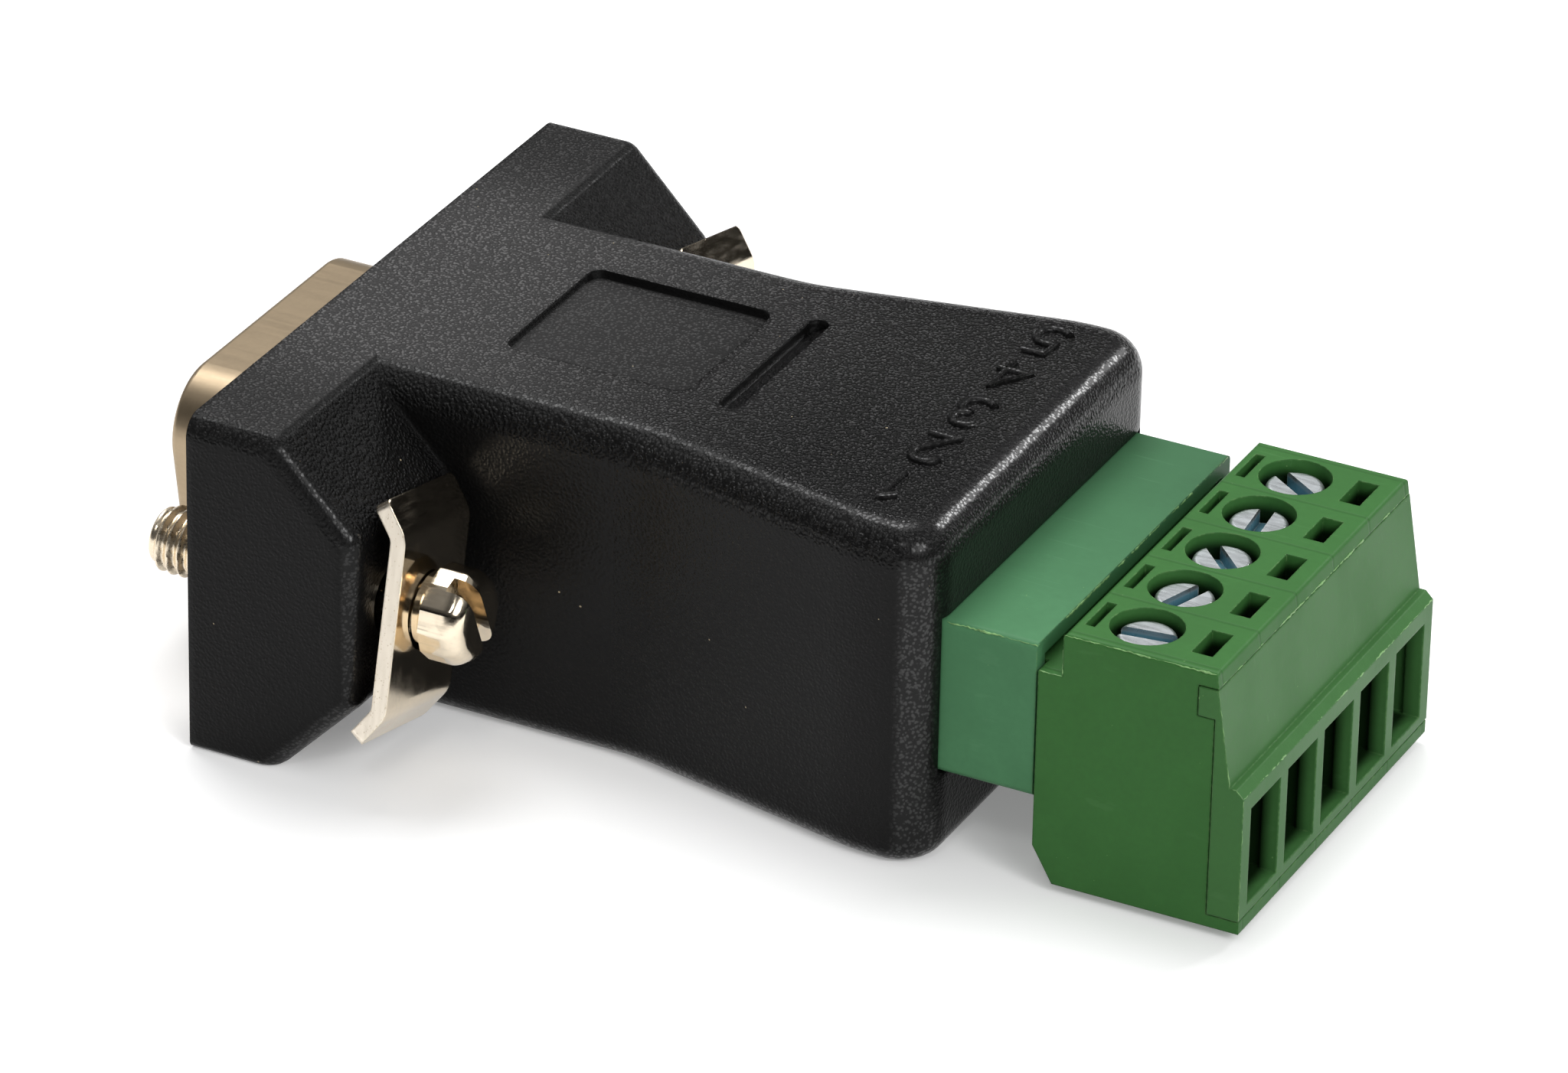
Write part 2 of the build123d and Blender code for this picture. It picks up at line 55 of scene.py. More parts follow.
MM = 0.001
HOOD_LOW, HOOD_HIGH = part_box("hood")
HOUSING_LOW, HOUSING_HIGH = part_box("plug_housing")
COVER_LOW, COVER_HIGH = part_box("plug_front_cover")
HEADER_LOW, HEADER_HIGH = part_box("header_shroud")
SCREW_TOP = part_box("terminal_screw_1")[1][2]
POLE_COUNT = 5
POLE_PITCH = 3.5 * MM
CONTACT_COUNT = 9

# Which way each jack screw lies from the middle, along Y
JACK_SIDES = {"near": -1, "far": 1}

# Jack screw in millimetres, with places along X from the hood's front face
JACK_SPACING = 24.99
JACK_AXIS_Z = (HOOD_LOW[2] + HOOD_HIGH[2]) / 2 / MM
JACK_TIP = -3.12
JACK_TIP_ROUNDING = 0.8
JACK_THREAD_RADIUS = 1.42
JACK_SHANK_RADIUS = 1.1
JACK_NECK_START = 9.38
JACK_NECK_RADIUS = 1.55
JACK_HEAD_START = 9.63
JACK_HEAD_BEVEL = 0.25
JACK_HEAD_RADIUS = 2.0
JACK_HEAD_SIDES = 12
JACK_HEAD_ROUNDING = 0.9
JACK_END = 11.75
JACK_SLOT_DEPTH = 1.05
JACK_SLOT_WIDTH = 0.75
JACK_SLOT_TURN = 23.0
JACK_ROUNDS = 96
SHARP_STEP = 0.002

# The thread's profile as shares of half a pitch, and its runouts in millimetres
THREAD_CREST = 0.12
THREAD_FLANK = 0.76
THREAD_RUNOUT = 0.35
THREAD_LEAD_IN = 0.45

# The middle of a pole number, where its height is one
NUMERAL_MIDDLE = (0.3, 0.5)

# The header's wall and rim round its inside, which is painted dark as painted shade, in millimetres
HEADER_WALL = 0.6
HEADER_RIM = 0.1

# How far the flash stands in from the edges, in millimetres
FLASH_INSET = 0.02
HEADER_FLASH_START = 0.05
HEADER_FLASH_SIDE = 0.07
HEADER_FLASH_TOP = 0.08
PLUG_FLASH_SIDE = 0.03
PLUG_FLASH_TOP = 0.06
STEP_FLASH_TOP = 0.2

# Widest flash on the header and the cover, as shares of the burr width
HEADER_FLASH_WIDTH = 1.2
COVER_FLASH_WIDTH = 0.8

# A thread of flash: its lengths, the sides of its tube, and its sizes as shares of its widest
FLASH_STEP = 0.11 * MM
FLASH_SIDES = 5
FLASH_START_SIZE = 0.6
FLASH_LEAST_SIZE = 0.25
FLASH_GAP_SIZE = 0.12
FLASH_GROWTH = 0.28
FLASH_WANDER = 0.2
FLASH_CHANGE_CHANCE = 0.22
FLASH_GAP_CHANCE = 0.25

# Plug in millimetres: its step from the hood's end and from the jack screws' axis
STEP_OUT = 5.16
STEP_LENGTH = 1.04
STEP_FLOOR = 2.35

# The boxes inside the plug and its cover that are painted dark as painted shade, in millimetres from the
# hood's end, faces and ledge
WELLS_OUT = 5.4
WELLS_FLOOR = 1.0
WELLS_FRONT = 1.6
WELLS_TOP = 0.15
CELLS_FRONT = 0.2
CELLS_TOP = 0.5

# Cover in millimetres: its seam from the plug's front face, its ledge, and its outline from the seam
SEAM_BACK = 1.42
LEDGE_Z = JACK_AXIS_Z - 0.62
LEDGE_BEVEL = 0.34
SLANT_TOP = 0.16
SLANT_FOOT = 0.8
LIP_OUT = 0.12
LIP_DROP = 0.64
HOOK_BACK = 0.66
HOOK_FRONT = 0.06
HOOK_DROP = 1.2

# Where the hood gets glossier along X, and a little less so along Y
GLOSS_START, GLOSS_END = HOOD_LOW[0] + 2 * MM, HOOD_HIGH[0] - 6 * MM
GLOSS_NEAR, GLOSS_FAR = -6 * MM, 4 * MM

# Where the ears' tops get less matt, from the middle along Y
EAR_START, EAR_END = 5 * MM, 13 * MM
FAR_EAR_START = 6 * MM

# Heights that tell the hood's recesses and the pole numbers from its top
RECESS_FLOOR, RECESS_RIM = HOOD_HIGH[2] - 0.3 * MM, HOOD_HIGH[2] - 0.1 * MM
NUMBER_RISE = 0.03 * MM

# How the painted shade inside a green moulding fades in from its two ends
PAINTED_SHADE_FADE_IN, PAINTED_SHADE_FADE_OUT = 0.3 * MM, 0.6 * MM

# Half the width of the line between two poles, where it is full and where it ends, in pitches
JOINT_FULL, JOINT_END = 0.012, 0.03

# Heights between which a terminal screw's slot turns dark
SLOT_FLOOR, SLOT_RIM = SCREW_TOP - 0.3 * MM, SCREW_TOP - 0.06 * MM

# The jack screws get rougher from the hood's front face to this place along X
ROUGH_THREAD = HOOD_LOW[0] - 0.5 * MM

# Colours of small marks, painted edge highlights among them, and of what is mostly hidden
PLATE_GRIT = (0.55, 0.43, 0.26)
PLATE_RIM_HIGHLIGHT = (0.93, 0.84, 0.66)
PLATE_CUT_RIM = (0.58, 0.45, 0.27)
ZINC_SCRATCH = (0.42, 0.46, 0.47)
ZINC_EDGE_HIGHLIGHT = (0.93, 0.93, 0.9)
CAGE_STEEL = (0.62, 0.63, 0.64)
CONTACT_GOLD = (0.78, 0.55, 0.22)
CONTACT_TIN = (0.72, 0.71, 0.68)
INSULATOR_BLACK = (0.02, 0.02, 0.021)
BOARD_GREEN = (0.012, 0.10, 0.045)
TRACK_GREEN = (0.05, 0.23, 0.10)
CHIP_BLACK = (0.018, 0.018, 0.02)
CERAMIC = (0.5, 0.36, 0.2)

# Shine of the mouldings, how much greyer the hood's matt top is, and the samples of a rounded edge
PLASTIC_SPECULAR = 0.12
HOOD_COAT_ROUGHNESS = 0.2
HOOD_GREYING = 15.0
BEVEL_SAMPLES = 6

# The viewpoint round the hood's front face, in degrees, millimetres and the image's pixels
VIEW_AZIMUTH = 26.424
VIEW_ELEVATION = 28.733
VIEW_ROLL = 1.2215
VIEW_DISTANCE = 395.04
VIEW_ASIDE = (16.8125, -4.60768)
VIEW_FOCAL_PIXELS = 12485.1
IMAGE_WIDTH = 2048
SENSOR_WIDTH = 36.0

# The stage in metres, and each lamp's place, width and power
SOFT_LIGHT = 0.45
FLOOR_SIZE = 3.0
FLOOR_DROP = 0.02 * MM
FLOOR_FROM_BELOW = (0.42, 0.42, 0.42)
FLOOR_LIFT = 0.22
TENT_RADIUS = 1.2
TENT_ROUNDS = 48
TENT_ROWS = 12
LAMPS = {
    "lamp_above": ((-0.2, 0.25, 0.75), 0.5, 4.2),
    "lamp_right": ((0.43, -0.30, 0.36), 0.3, 0.9),
    "lamp_behind": ((0.265, 0.59, 0.38), 0.16, 1.1),
    "lamp_corner": ((0.53, -0.255, 0.40), 0.2, 0.9),
    "lamp_front": ((0.142, -0.435, 0.53), 0.12, 0.3),
}


# Settings that a user may change

def shade(label, text, colour):
    return bpy.props.FloatVectorProperty(
        name=label, description=text, subtype="COLOR", size=3, min=0, max=1, default=colour)


def length(label, text, value):
    return bpy.props.FloatProperty(
        name=label, description=text, subtype="DISTANCE", unit="LENGTH", default=value, min=0, precision=5)


class AdapterColours(bpy.types.PropertyGroup):
    hood: shade("Hood", "Colour of the moulded hood", (0.0048, 0.0047, 0.0047))
    hood_chip: shade("Hood specks", "Colour of the fine dust on the hood", (0.46, 0.38, 0.25))
    header: shade("Header", "Colour of the fixed pin header", (0.082, 0.236, 0.110))
    plug: shade("Plug", "Colour of the plug's housing", (0.046, 0.158, 0.039))
    cover: shade("Plug cover", "Colour of the plug's front cover", (0.058, 0.172, 0.050))
    burr: shade("Burrs", "Colour of the pale moulding burrs", (0.21, 0.40, 0.15))
    shell: shade("Shell", "Colour of the tinned steel shell", (0.39, 0.305, 0.205))
    cut_edge: shade("Cut edges", "Colour of the plates' sheared edges", (0.86, 0.78, 0.66))
    nickel: shade("Nickel", "Colour of the plates and jack screws", (0.82, 0.71, 0.55))
    zinc: shade("Zinc", "Colour of the terminal screws", (0.56, 0.59, 0.61))
    zinc_slot: shade("Screw slots", "Colour inside the terminal screws' slots", (0.12, 0.27, 0.34))
    floor: shade("Floor", "Colour of the floor", (0.92, 0.92, 0.92))


class AdapterSizes(bpy.types.PropertyGroup):
    numeral_height: length("Numeral height", "Height of the raised pole numbers", 2.3 * MM)
    numeral_stroke: length("Numeral stroke", "Width of the strokes of the pole numbers", 0.4 * MM)
    numeral_relief: length("Numeral relief", "How far the numbers stand out of the hood", 0.22 * MM)
    numeral_place: length("Numeral place", "How far the numbers stand from the hood's end", 3.4 * MM)
    thread_pitch: length("Thread pitch", "Pitch of the jack screws' threads", 0.5 * MM)
    thread_depth: length("Thread depth", "Depth of the jack screws' threads", 0.2 * MM)
    grain_cell: length("Grain cell", "Size of the cells in the hood's grain", 0.15 * MM)
    grain_depth: length("Grain depth", "Depth of the hood's grain", 0.06 * MM)
    burr_width: length("Burr width", "Widest part of the moulding burrs", 0.1 * MM)


def colours():
    return bpy.context.scene.adapter_colours


def sizes():
    return bpy.context.scene.adapter_sizes


# Node trees

class NodeBench:
    """Short calls for adding and joining the nodes of one tree."""

    def __init__(self, tree):
        self.tree = tree

    def add(self, kind, inputs=None, **settings):
        node = self.tree.nodes.new("ShaderNode" + kind)
        for key, value in settings.items():
            setattr(node, key, value)
        for name, value in (inputs or {}).items():
            self.feed(node.inputs[name], value)
        return node

    def feed(self, socket, value):
        if isinstance(value, bpy.types.NodeSocket):
            self.tree.links.new(value, socket)
        elif socket.type == "RGBA" and len(value) == 3:
            socket.default_value = (*value, 1)
        else:
            socket.default_value = value

    def math(self, operation, *values, clamp=False):
        node = self.add("Math", operation=operation, use_clamp=clamp)
        for socket, value in zip(node.inputs, values):
            self.feed(socket, value)
        return node.outputs[0]

    def ramp(self, value, low, high, to_low=0.0, to_high=1.0, smooth=True):
        node = self.add("MapRange", interpolation_type="SMOOTHSTEP" if smooth else "LINEAR")
        for socket, number in zip(node.inputs, (value, low, high, to_low, to_high)):
            self.feed(socket, number)
        return node.outputs[0]

    def blend(self, amount, first, second, mode="MIX"):
        node = self.add("Mix", data_type="RGBA", blend_type=mode)
        for socket, value in zip((node.inputs[0], node.inputs[6], node.inputs[7]), (amount, first, second)):
            self.feed(socket, value)
        return node.outputs[2]

    def product(self, first, *others):
        for value in others:
            first = self.math("MULTIPLY", first, value)
        return first

    def within(self, mask, weight):
        """One outside the mask, and the weight inside it."""
        return self.ramp(mask, 0.0, 1.0, 1.0, weight)

    def place(self):
        return self.add("TexCoord").outputs["Object"]

    def axes(self, vector):
        return self.add("SeparateXYZ", {"Vector": vector}).outputs

    def normal(self):
        return self.axes(self.add("NewGeometry").outputs["Normal"])

    def relief(self, shader, height, strength, distance, rounding=None):
        """Gives the shader a bump, over edges that look rounded where a radius is given."""
        inputs = {"Height": height, "Strength": strength, "Distance": distance}
        if rounding:
            inputs["Normal"] = self.add("Bevel", {"Radius": rounding}, samples=BEVEL_SAMPLES).outputs[0]
        self.feed(shader["Normal"], self.add("Bump", inputs).outputs[0])

    def group(self, tree, **inputs):
        node = self.tree.nodes.new("ShaderNodeGroup")
        node.node_tree = tree
        for name, value in inputs.items():
            self.feed(node.inputs[name.replace("_", " ").title()], value)
        return node.outputs


def built_once(build):
    """Lets a group's function build it at the first call, and give the same group after that."""
    def shared_group():
        return bpy.data.node_groups.get(build.__name__) or build()
    return shared_group


def new_group(name, inputs, outputs):
    """An empty node group with float inputs and outputs, and its two end nodes."""
    tree = bpy.data.node_groups.new(name, "ShaderNodeTree")
    for label, value in inputs.items():
        socket = tree.interface.new_socket(name=label, in_out="INPUT", socket_type="NodeSocketFloat")
        socket.default_value = value
    for label in outputs:
        tree.interface.new_socket(name=label, in_out="OUTPUT", socket_type="NodeSocketFloat")
    return tree, tree.nodes.new("NodeGroupInput").outputs, tree.nodes.new("NodeGroupOutput").inputs


@built_once
def moulded_grain():
    """Leather-like pebbles with fine noise on them."""
    tree, given, out = new_group("moulded_grain", {"Cell Size": 0.17 * MM, "Softness": 0.6}, ("Height",))
    bench = NodeBench(tree)
    place = bench.place()
    scale = bench.math("DIVIDE", 1.0, given["Cell Size"])
    coarser = bench.math("MULTIPLY", scale, 0.35)
    finer = bench.math("MULTIPLY", scale, 2.7)
    wobble = bench.add("TexNoise", {"Vector": place, "Scale": coarser, "Detail": 2.0})
    shift = bench.add("VectorMath", operation="SCALE", inputs={
        0: wobble.outputs["Color"], "Scale": 0.22 * MM})
    spot = bench.add("VectorMath", operation="ADD", inputs={0: place, 1: shift.outputs[0]})
    cells = bench.add("TexVoronoi", feature="SMOOTH_F1", inputs={
        "Vector": spot.outputs[0], "Scale": scale, "Smoothness": given["Softness"]})
    fine = bench.add("TexNoise", {"Vector": place, "Scale": finer, "Detail": 3.0})
    pebble = bench.ramp(cells.outputs["Distance"], 0.1, 0.75, 1.0, 0.0)
    bench.feed(out["Height"], bench.math("MULTIPLY_ADD", fine.outputs[0], 0.35, pebble))
    return tree


@built_once
def edge_wear():
    """A broken mask along the edges, from the difference between the bevelled and the plain normal."""
    tree, given, out = new_group(
        "edge_wear", {"Width": 0.12 * MM, "Reach": 0.25, "Breakup": 0.5, "Scale": 1500.0}, ("Mask",))
    bench = NodeBench(tree)
    rounded = bench.add("Bevel", {"Radius": given["Width"]}, samples=BEVEL_SAMPLES)
    plain = bench.add("NewGeometry").outputs["Normal"]
    turn = bench.add("VectorMath", operation="DOT_PRODUCT", inputs={0: rounded.outputs[0], 1: plain})
    sharp = bench.math("SUBTRACT", 1.0, turn.outputs["Value"])
    edge = bench.ramp(sharp, 0.004, given["Reach"])
    noise = bench.add("TexNoise", {"Vector": bench.place(), "Scale": given["Scale"], "Detail": 4.0})
    broken = bench.ramp(noise.outputs[0], bench.math("MULTIPLY", given["Breakup"], 0.75), 0.7)
    bench.feed(out["Mask"], bench.math("MULTIPLY", edge, broken, clamp=True))
    return tree


@built_once
def dust_specks():
    """Scattered small specks of mixed size with ragged rims."""
    tree, given, out = new_group("dust_specks", {"Spacing": MM, "Share": 0.3, "Size": 0.12}, ("Mask",))
    bench = NodeBench(tree)
    scale = bench.math("DIVIDE", 1.0, given["Spacing"])
    cells = bench.add("TexVoronoi", {"Vector": bench.place(), "Scale": scale})
    luck = bench.add("SeparateColor", {"Color": cells.outputs["Color"]})
    kept = bench.math("LESS_THAN", luck.outputs[0], given["Share"])
    radius = bench.math("MULTIPLY", given["Size"], bench.math("MULTIPLY_ADD", luck.outputs[1], 0.8, 0.25))
    noise = bench.add("TexNoise", {"Vector": bench.place(), "Scale": 9000.0, "Detail": 2.0})
    ragged = bench.math("MULTIPLY_ADD", noise.outputs[0], 1.4, 0.3)
    near = bench.math("MULTIPLY", cells.outputs["Distance"], ragged)
    spot = bench.ramp(bench.math("DIVIDE", near, radius), 0.7, 1.0, 1.0, 0.0)
    bench.feed(out["Mask"], bench.math("MULTIPLY", spot, kept))
    return tree


@built_once
def tone_drift():
    """Slow and fine changes of tone around one, and a mask of slow blotches."""
    tree, given, out = new_group(
        "tone_drift", {"Slow Scale": 120.0, "Fine Scale": 2600.0, "Amount": 0.25}, ("Tone", "Blotch"))
    bench = NodeBench(tree)
    slow = bench.add("TexNoise", {"Vector": bench.place(), "Scale": given["Slow Scale"], "Detail": 3.0})
    fine = bench.add("TexNoise", {"Vector": bench.place(), "Scale": given["Fine Scale"], "Detail": 3.0})
    both = bench.math("MULTIPLY_ADD", fine.outputs[0], 0.6, slow.outputs[0])
    tone = bench.math("MULTIPLY_ADD", bench.math("SUBTRACT", both, 0.8), given["Amount"], 1.0)
    bench.feed(out["Tone"], tone)
    bench.feed(out["Blotch"], bench.ramp(slow.outputs[0], 0.42, 0.62))
    return tree


@built_once
def hairlines():
    """Fine lines, as brushing or scratches leave. They run along the axes with the lowest numbers."""
    tree, given, out = new_group(
        "hairlines", {"Along X": 300.0, "Along Y": 300.0, "Along Z": 9000.0, "Cut": 0.6},
        ("Mask", "Height"))
    bench = NodeBench(tree)
    factors = bench.add("CombineXYZ", {"X": given["Along X"], "Y": given["Along Y"], "Z": given["Along Z"]})
    spot = bench.add("VectorMath", operation="MULTIPLY", inputs={0: bench.place(), 1: factors.outputs[0]})
    noise = bench.add("TexNoise", {
        "Vector": spot.outputs[0], "Scale": 1.0, "Detail": 4.0, "Roughness": 0.6})
    cut_end = bench.math("ADD", given["Cut"], 0.06)
    bench.feed(out["Height"], noise.outputs[0])
    bench.feed(out["Mask"], bench.ramp(noise.outputs[0], given["Cut"], cut_end))
    return tree


# Materials

def new_material(name):
    """A material with a Principled shader alone, a bench for its nodes, and the shader's inputs."""
    material = bpy.data.materials.new(name)
    material.use_nodes = True
    material.node_tree.nodes.clear()
    bench = NodeBench(material.node_tree)
    shader = bench.add("BsdfPrincipled")
    output = bench.add("OutputMaterial")
    bench.feed(output.inputs["Surface"], shader.outputs[0])
    return material, bench, shader.inputs


def toned(bench, colour, tone):
    """The colour made lighter or darker by a tone around one."""
    grey = bench.add("CombineColor", {"Red": tone, "Green": tone, "Blue": tone}).outputs[0]
    return bench.blend(1.0, colour, grey, mode="MULTIPLY")


def scaled(colour, factor, lift=0.0):
    """A plain colour times a factor, with a lift added, and one at most."""
    return tuple(min(1.0, part * factor + lift) for part in colour)


def hood_regions(bench):
    """How glossy the hood is along its length, and masks of its flat top and of the recesses in it."""
    place = bench.axes(bench.place())
    glossy = bench.ramp(place[0], GLOSS_START, GLOSS_END)
    flat_top = bench.ramp(bench.normal()[2], 0.93, 0.99)
    sunk = bench.ramp(place[2], RECESS_FLOOR, RECESS_RIM, 1.0, 0.0)
    return glossy, flat_top, bench.product(flat_top, sunk)


def hood_tint(bench, grain, pebbles, glossy, flat_top, recess):
    """Near black, greyer on the matt top, with painted glints and shade on the grain of the flat top, paler
    painted glints on the pebbles of the glossy part, and dusty.
    """
    hood = colours().hood
    greyer = scaled(hood, HOOD_GREYING)
    drift = bench.group(tone_drift(), slow_scale=150.0, fine_scale=5200.0, amount=0.9)
    dust = bench.group(dust_specks(), spacing=0.9 * MM, share=0.3, size=0.06)
    y = bench.axes(bench.place())[1]
    gloss = bench.product(glossy, bench.ramp(y, GLOSS_NEAR, GLOSS_FAR, 1.0, 0.87))
    both_ears = bench.ramp(bench.math("ABSOLUTE", y), EAR_START, EAR_END, 1.0, 0.5)
    far_ear = bench.ramp(y, FAR_EAR_START, EAR_END, 1.0, 0.7)
    matt = bench.product(flat_top, bench.math("SUBTRACT", 1.0, gloss), both_ears, far_ear)
    matt = bench.product(matt, bench.within(recess, 0.55))
    tint = bench.blend(matt, toned(bench, hood, drift["Tone"]), greyer)
    # Painted glints and shade on the grain: its pebble tops are painted lighter and its hollows darker.
    grain_glint_shade = bench.math("SUBTRACT", bench.ramp(grain, 0.45, 1.15, 0.55, 1.8), 1.0)
    grain_glint_area = bench.product(flat_top, bench.within(recess, 0.7))
    tint = toned(bench, tint, bench.math("MULTIPLY_ADD", grain_glint_shade, grain_glint_area, 1.0))
    # Painted glints: the pebble tops of the glossy part are painted paler.
    tint = bench.blend(bench.product(pebbles, 0.18), tint, greyer)
    return bench.blend(dust["Mask"], tint, colours().hood_chip)


def hood_polish(bench, grain, glossy):
    """Where the hood shines: grain by grain on its rounded edges, but not on the slopes of its ears."""
    facing = [bench.math("ABSOLUTE", part) for part in bench.normal()]
    flat = bench.math("MAXIMUM", bench.math("MAXIMUM", facing[0], facing[1]), facing[2])
    edges = bench.ramp(flat, 0.9, 0.985, 1.0, 0.0)
    slanted = bench.math("MULTIPLY", bench.math("ADD", facing[0], facing[2]), math.sqrt(0.5))
    slope = bench.product(bench.ramp(slanted, 0.975, 0.995), bench.ramp(glossy, 0.2, 0.6, 1.0, 0.0))
    amount = bench.ramp(glossy, 0.0, 1.0, 0.5, 0.85)
    grainy = bench.ramp(grain, 0.4, 1.0, 0.2, 1.0)
    return bench.product(edges, amount, bench.math("SUBTRACT", 1.0, slope), grainy)


def hood_height(bench, grain, flat_top, recess):
    """The grain, with fine lines on the top. It is shallower on the sides, recesses and numbers."""
    streaks = bench.group(hairlines(), along_x=900.0, along_y=5200.0, along_z=900.0, cut=0.6)
    sides = bench.ramp(bench.normal()[2], 0.02, 0.3, 0.22, 1.0)
    z = bench.axes(bench.place())[2]
    numbers = bench.ramp(z, HOOD_HIGH[2], HOOD_HIGH[2] + NUMBER_RISE, 1.0, 0.25)
    share = bench.product(sides, numbers, bench.within(flat_top, 0.85), bench.within(recess, 0.3))
    lined = bench.product(streaks["Height"], flat_top, 0.9)
    return bench.product(bench.math("ADD", grain, lined), share)


def hood_black():
    """Black moulding: matt and greyer by the D-sub, glossier by the header, and shiny on its edges."""
    material, bench, shader = new_material("hood_black")
    glossy, flat_top, recess = hood_regions(bench)
    grain = bench.group(moulded_grain(), cell_size=sizes().grain_cell, softness=0.4)["Height"]
    pebbles = bench.product(flat_top, glossy, bench.ramp(grain, 0.75, 1.15))
    bench.feed(shader["Base Color"], hood_tint(bench, grain, pebbles, glossy, flat_top, recess))
    rough = bench.ramp(glossy, 0.0, 1.0, 0.40, 0.22)
    bench.feed(shader["Roughness"], bench.math("MULTIPLY_ADD", recess, 0.1, rough))
    polish = bench.math("MAXIMUM", hood_polish(bench, grain, glossy), bench.product(pebbles, 0.8))
    bench.feed(shader["Coat Weight"], polish)
    shader["Coat Roughness"].default_value = HOOD_COAT_ROUGHNESS
    shader["Specular IOR Level"].default_value = PLASTIC_SPECULAR
    height = hood_height(bench, grain, flat_top, recess)
    bench.relief(shader, height, 1.0, sizes().grain_depth, rounding=0.5 * MM)
    return material


def depth_inside(bench, spot, box):
    """A mask of painted shade: one well inside a box, and nought from its sides outward."""
    deep = 1.0
    for along, low, high in zip(spot, *box):
        past_low = bench.ramp(along, low, low + PAINTED_SHADE_FADE_IN)
        before_high = bench.ramp(along, high - PAINTED_SHADE_FADE_OUT, high, 1.0, 0.0)
        deep = bench.product(deep, past_low, before_high)
    return deep


def green_plastic(name, colour, rough, inside, joints=False, fade=0.0):
    """Satin green moulding with pale worn edges and specks, painted dark inside the box of its openings as
    painted shade.

    With joints, a faint line shows between poles. The fade is how much darker its far end is painted, as
    painted shade.
    """
    material, bench, shader = new_material(name)
    drift = bench.group(tone_drift(), slow_scale=260.0, fine_scale=3800.0, amount=0.3)
    wear = bench.group(edge_wear(), width=0.12 * MM, reach=0.2, breakup=0.55, scale=3600.0)["Mask"]
    dust = bench.group(dust_specks(), spacing=0.55 * MM, share=0.3, size=0.07)["Mask"]
    lines = bench.group(hairlines(), along_x=260.0, along_y=5200.0, along_z=900.0, cut=0.63)["Mask"]
    spot = bench.axes(bench.place())
    tone = drift["Tone"]
    # Painted shade: the far end along Y is painted darker by the fade.
    if fade:
        painted_far_shade = bench.ramp(spot[1], HEADER_LOW[1], HEADER_HIGH[1], 1.0, 1.0 - fade, smooth=False)
        tone = bench.product(tone, painted_far_shade)
    tint = toned(bench, colour, tone)
    tint = bench.blend(bench.product(lines, 0.12), tint, scaled(colour, 1.5, lift=0.05))
    tint = bench.blend(bench.product(drift["Blotch"], 0.35), tint, scaled(colour, 0.72))
    tint = bench.blend(bench.product(wear, 0.55), tint, colours().burr)
    tint = bench.blend(bench.product(dust, 0.6), tint, colours().burr)
    height = bench.math("MULTIPLY_ADD", wear, 0.8, drift["Tone"])
    if joints:
        cell = bench.math("FRACT", bench.math("DIVIDE", spot[1], POLE_PITCH))
        off = bench.math("ABSOLUTE", bench.math("SUBTRACT", cell, 0.5))
        line = bench.ramp(off, JOINT_FULL, JOINT_END, 1.0, 0.0)
        tint = bench.blend(bench.product(line, 0.35), tint, scaled(colour, 0.55))
        height = bench.math("MULTIPLY_ADD", line, -0.6, height)
    # Painted shade: the inside of the box is painted nearly black.
    deep = depth_inside(bench, spot, inside)
    bench.feed(shader["Base Color"], bench.blend(bench.product(deep, 0.93), tint, scaled(colour, 0.04)))
    bench.feed(shader["Roughness"], bench.ramp(drift["Tone"], 0.85, 1.15, rough - 0.08, rough + 0.1))
    shader["Specular IOR Level"].default_value = PLASTIC_SPECULAR
    bench.relief(shader, height, 0.7, 0.02 * MM, rounding=0.12 * MM)
    return material


def burr_plastic(name, colour):
    """The thin pale flash that stands along a moulded edge."""
    material, bench, shader = new_material(name)
    drift = bench.group(tone_drift(), slow_scale=2400.0, fine_scale=9000.0, amount=1.6)
    bench.feed(shader["Base Color"], toned(bench, colour, drift["Tone"]))
    bench.feed(shader["Roughness"], bench.ramp(drift["Tone"], 0.7, 1.3, 0.3, 0.6))
    return material


def plated_metal(name, colour, rough, marks=0.3, axis="z", dents=0.0, brushed=0.35):
    """Plated metal with hairlines along X or Z, slow blotches and brighter rubbed edges.

    With dents, it also has shallow dents, and is rougher where a screw has its thread.
    """
    material, bench, shader = new_material(name)
    along_x, along_z = (200.0, 6500.0) if axis == "x" else (6500.0, 200.0)
    lines = bench.group(hairlines(), along_x=along_x, along_y=6500.0, along_z=along_z, cut=0.58)
    drift = bench.group(tone_drift(), slow_scale=420.0, fine_scale=5200.0, amount=0.24)
    wear = bench.group(edge_wear(), width=0.1 * MM, reach=0.35, breakup=0.4, scale=3500.0)
    tint = toned(bench, colour, drift["Tone"])
    tint = bench.blend(bench.product(lines["Mask"], marks), tint, scaled(colour, 0.55))
    tint = bench.blend(bench.product(wear["Mask"], 0.5), tint, scaled(colour, 1.25))
    bench.feed(shader["Base Color"], tint)
    shader["Metallic"].default_value = 1.0
    finish = bench.ramp(lines["Height"], 0.35, 0.65, rough * (1 - brushed), rough * (1 + brushed))
    rise = lines["Height"]
    if dents:
        x = bench.axes(bench.place())[0]
        threaded = bench.ramp(x, ROUGH_THREAD, HOOD_LOW[0], 0.16, 0.0)
        finish = bench.math("ADD", finish, threaded)
        dent = bench.add("TexVoronoi", feature="SMOOTH_F1", inputs={
            "Vector": bench.place(), "Scale": 1150.0, "Smoothness": 0.15})
        rise = bench.math("MULTIPLY_ADD", dent.outputs["Distance"], dents, rise)
    bench.feed(shader["Roughness"], finish)
    bench.relief(shader, rise, brushed, 0.004 * MM)
    return material


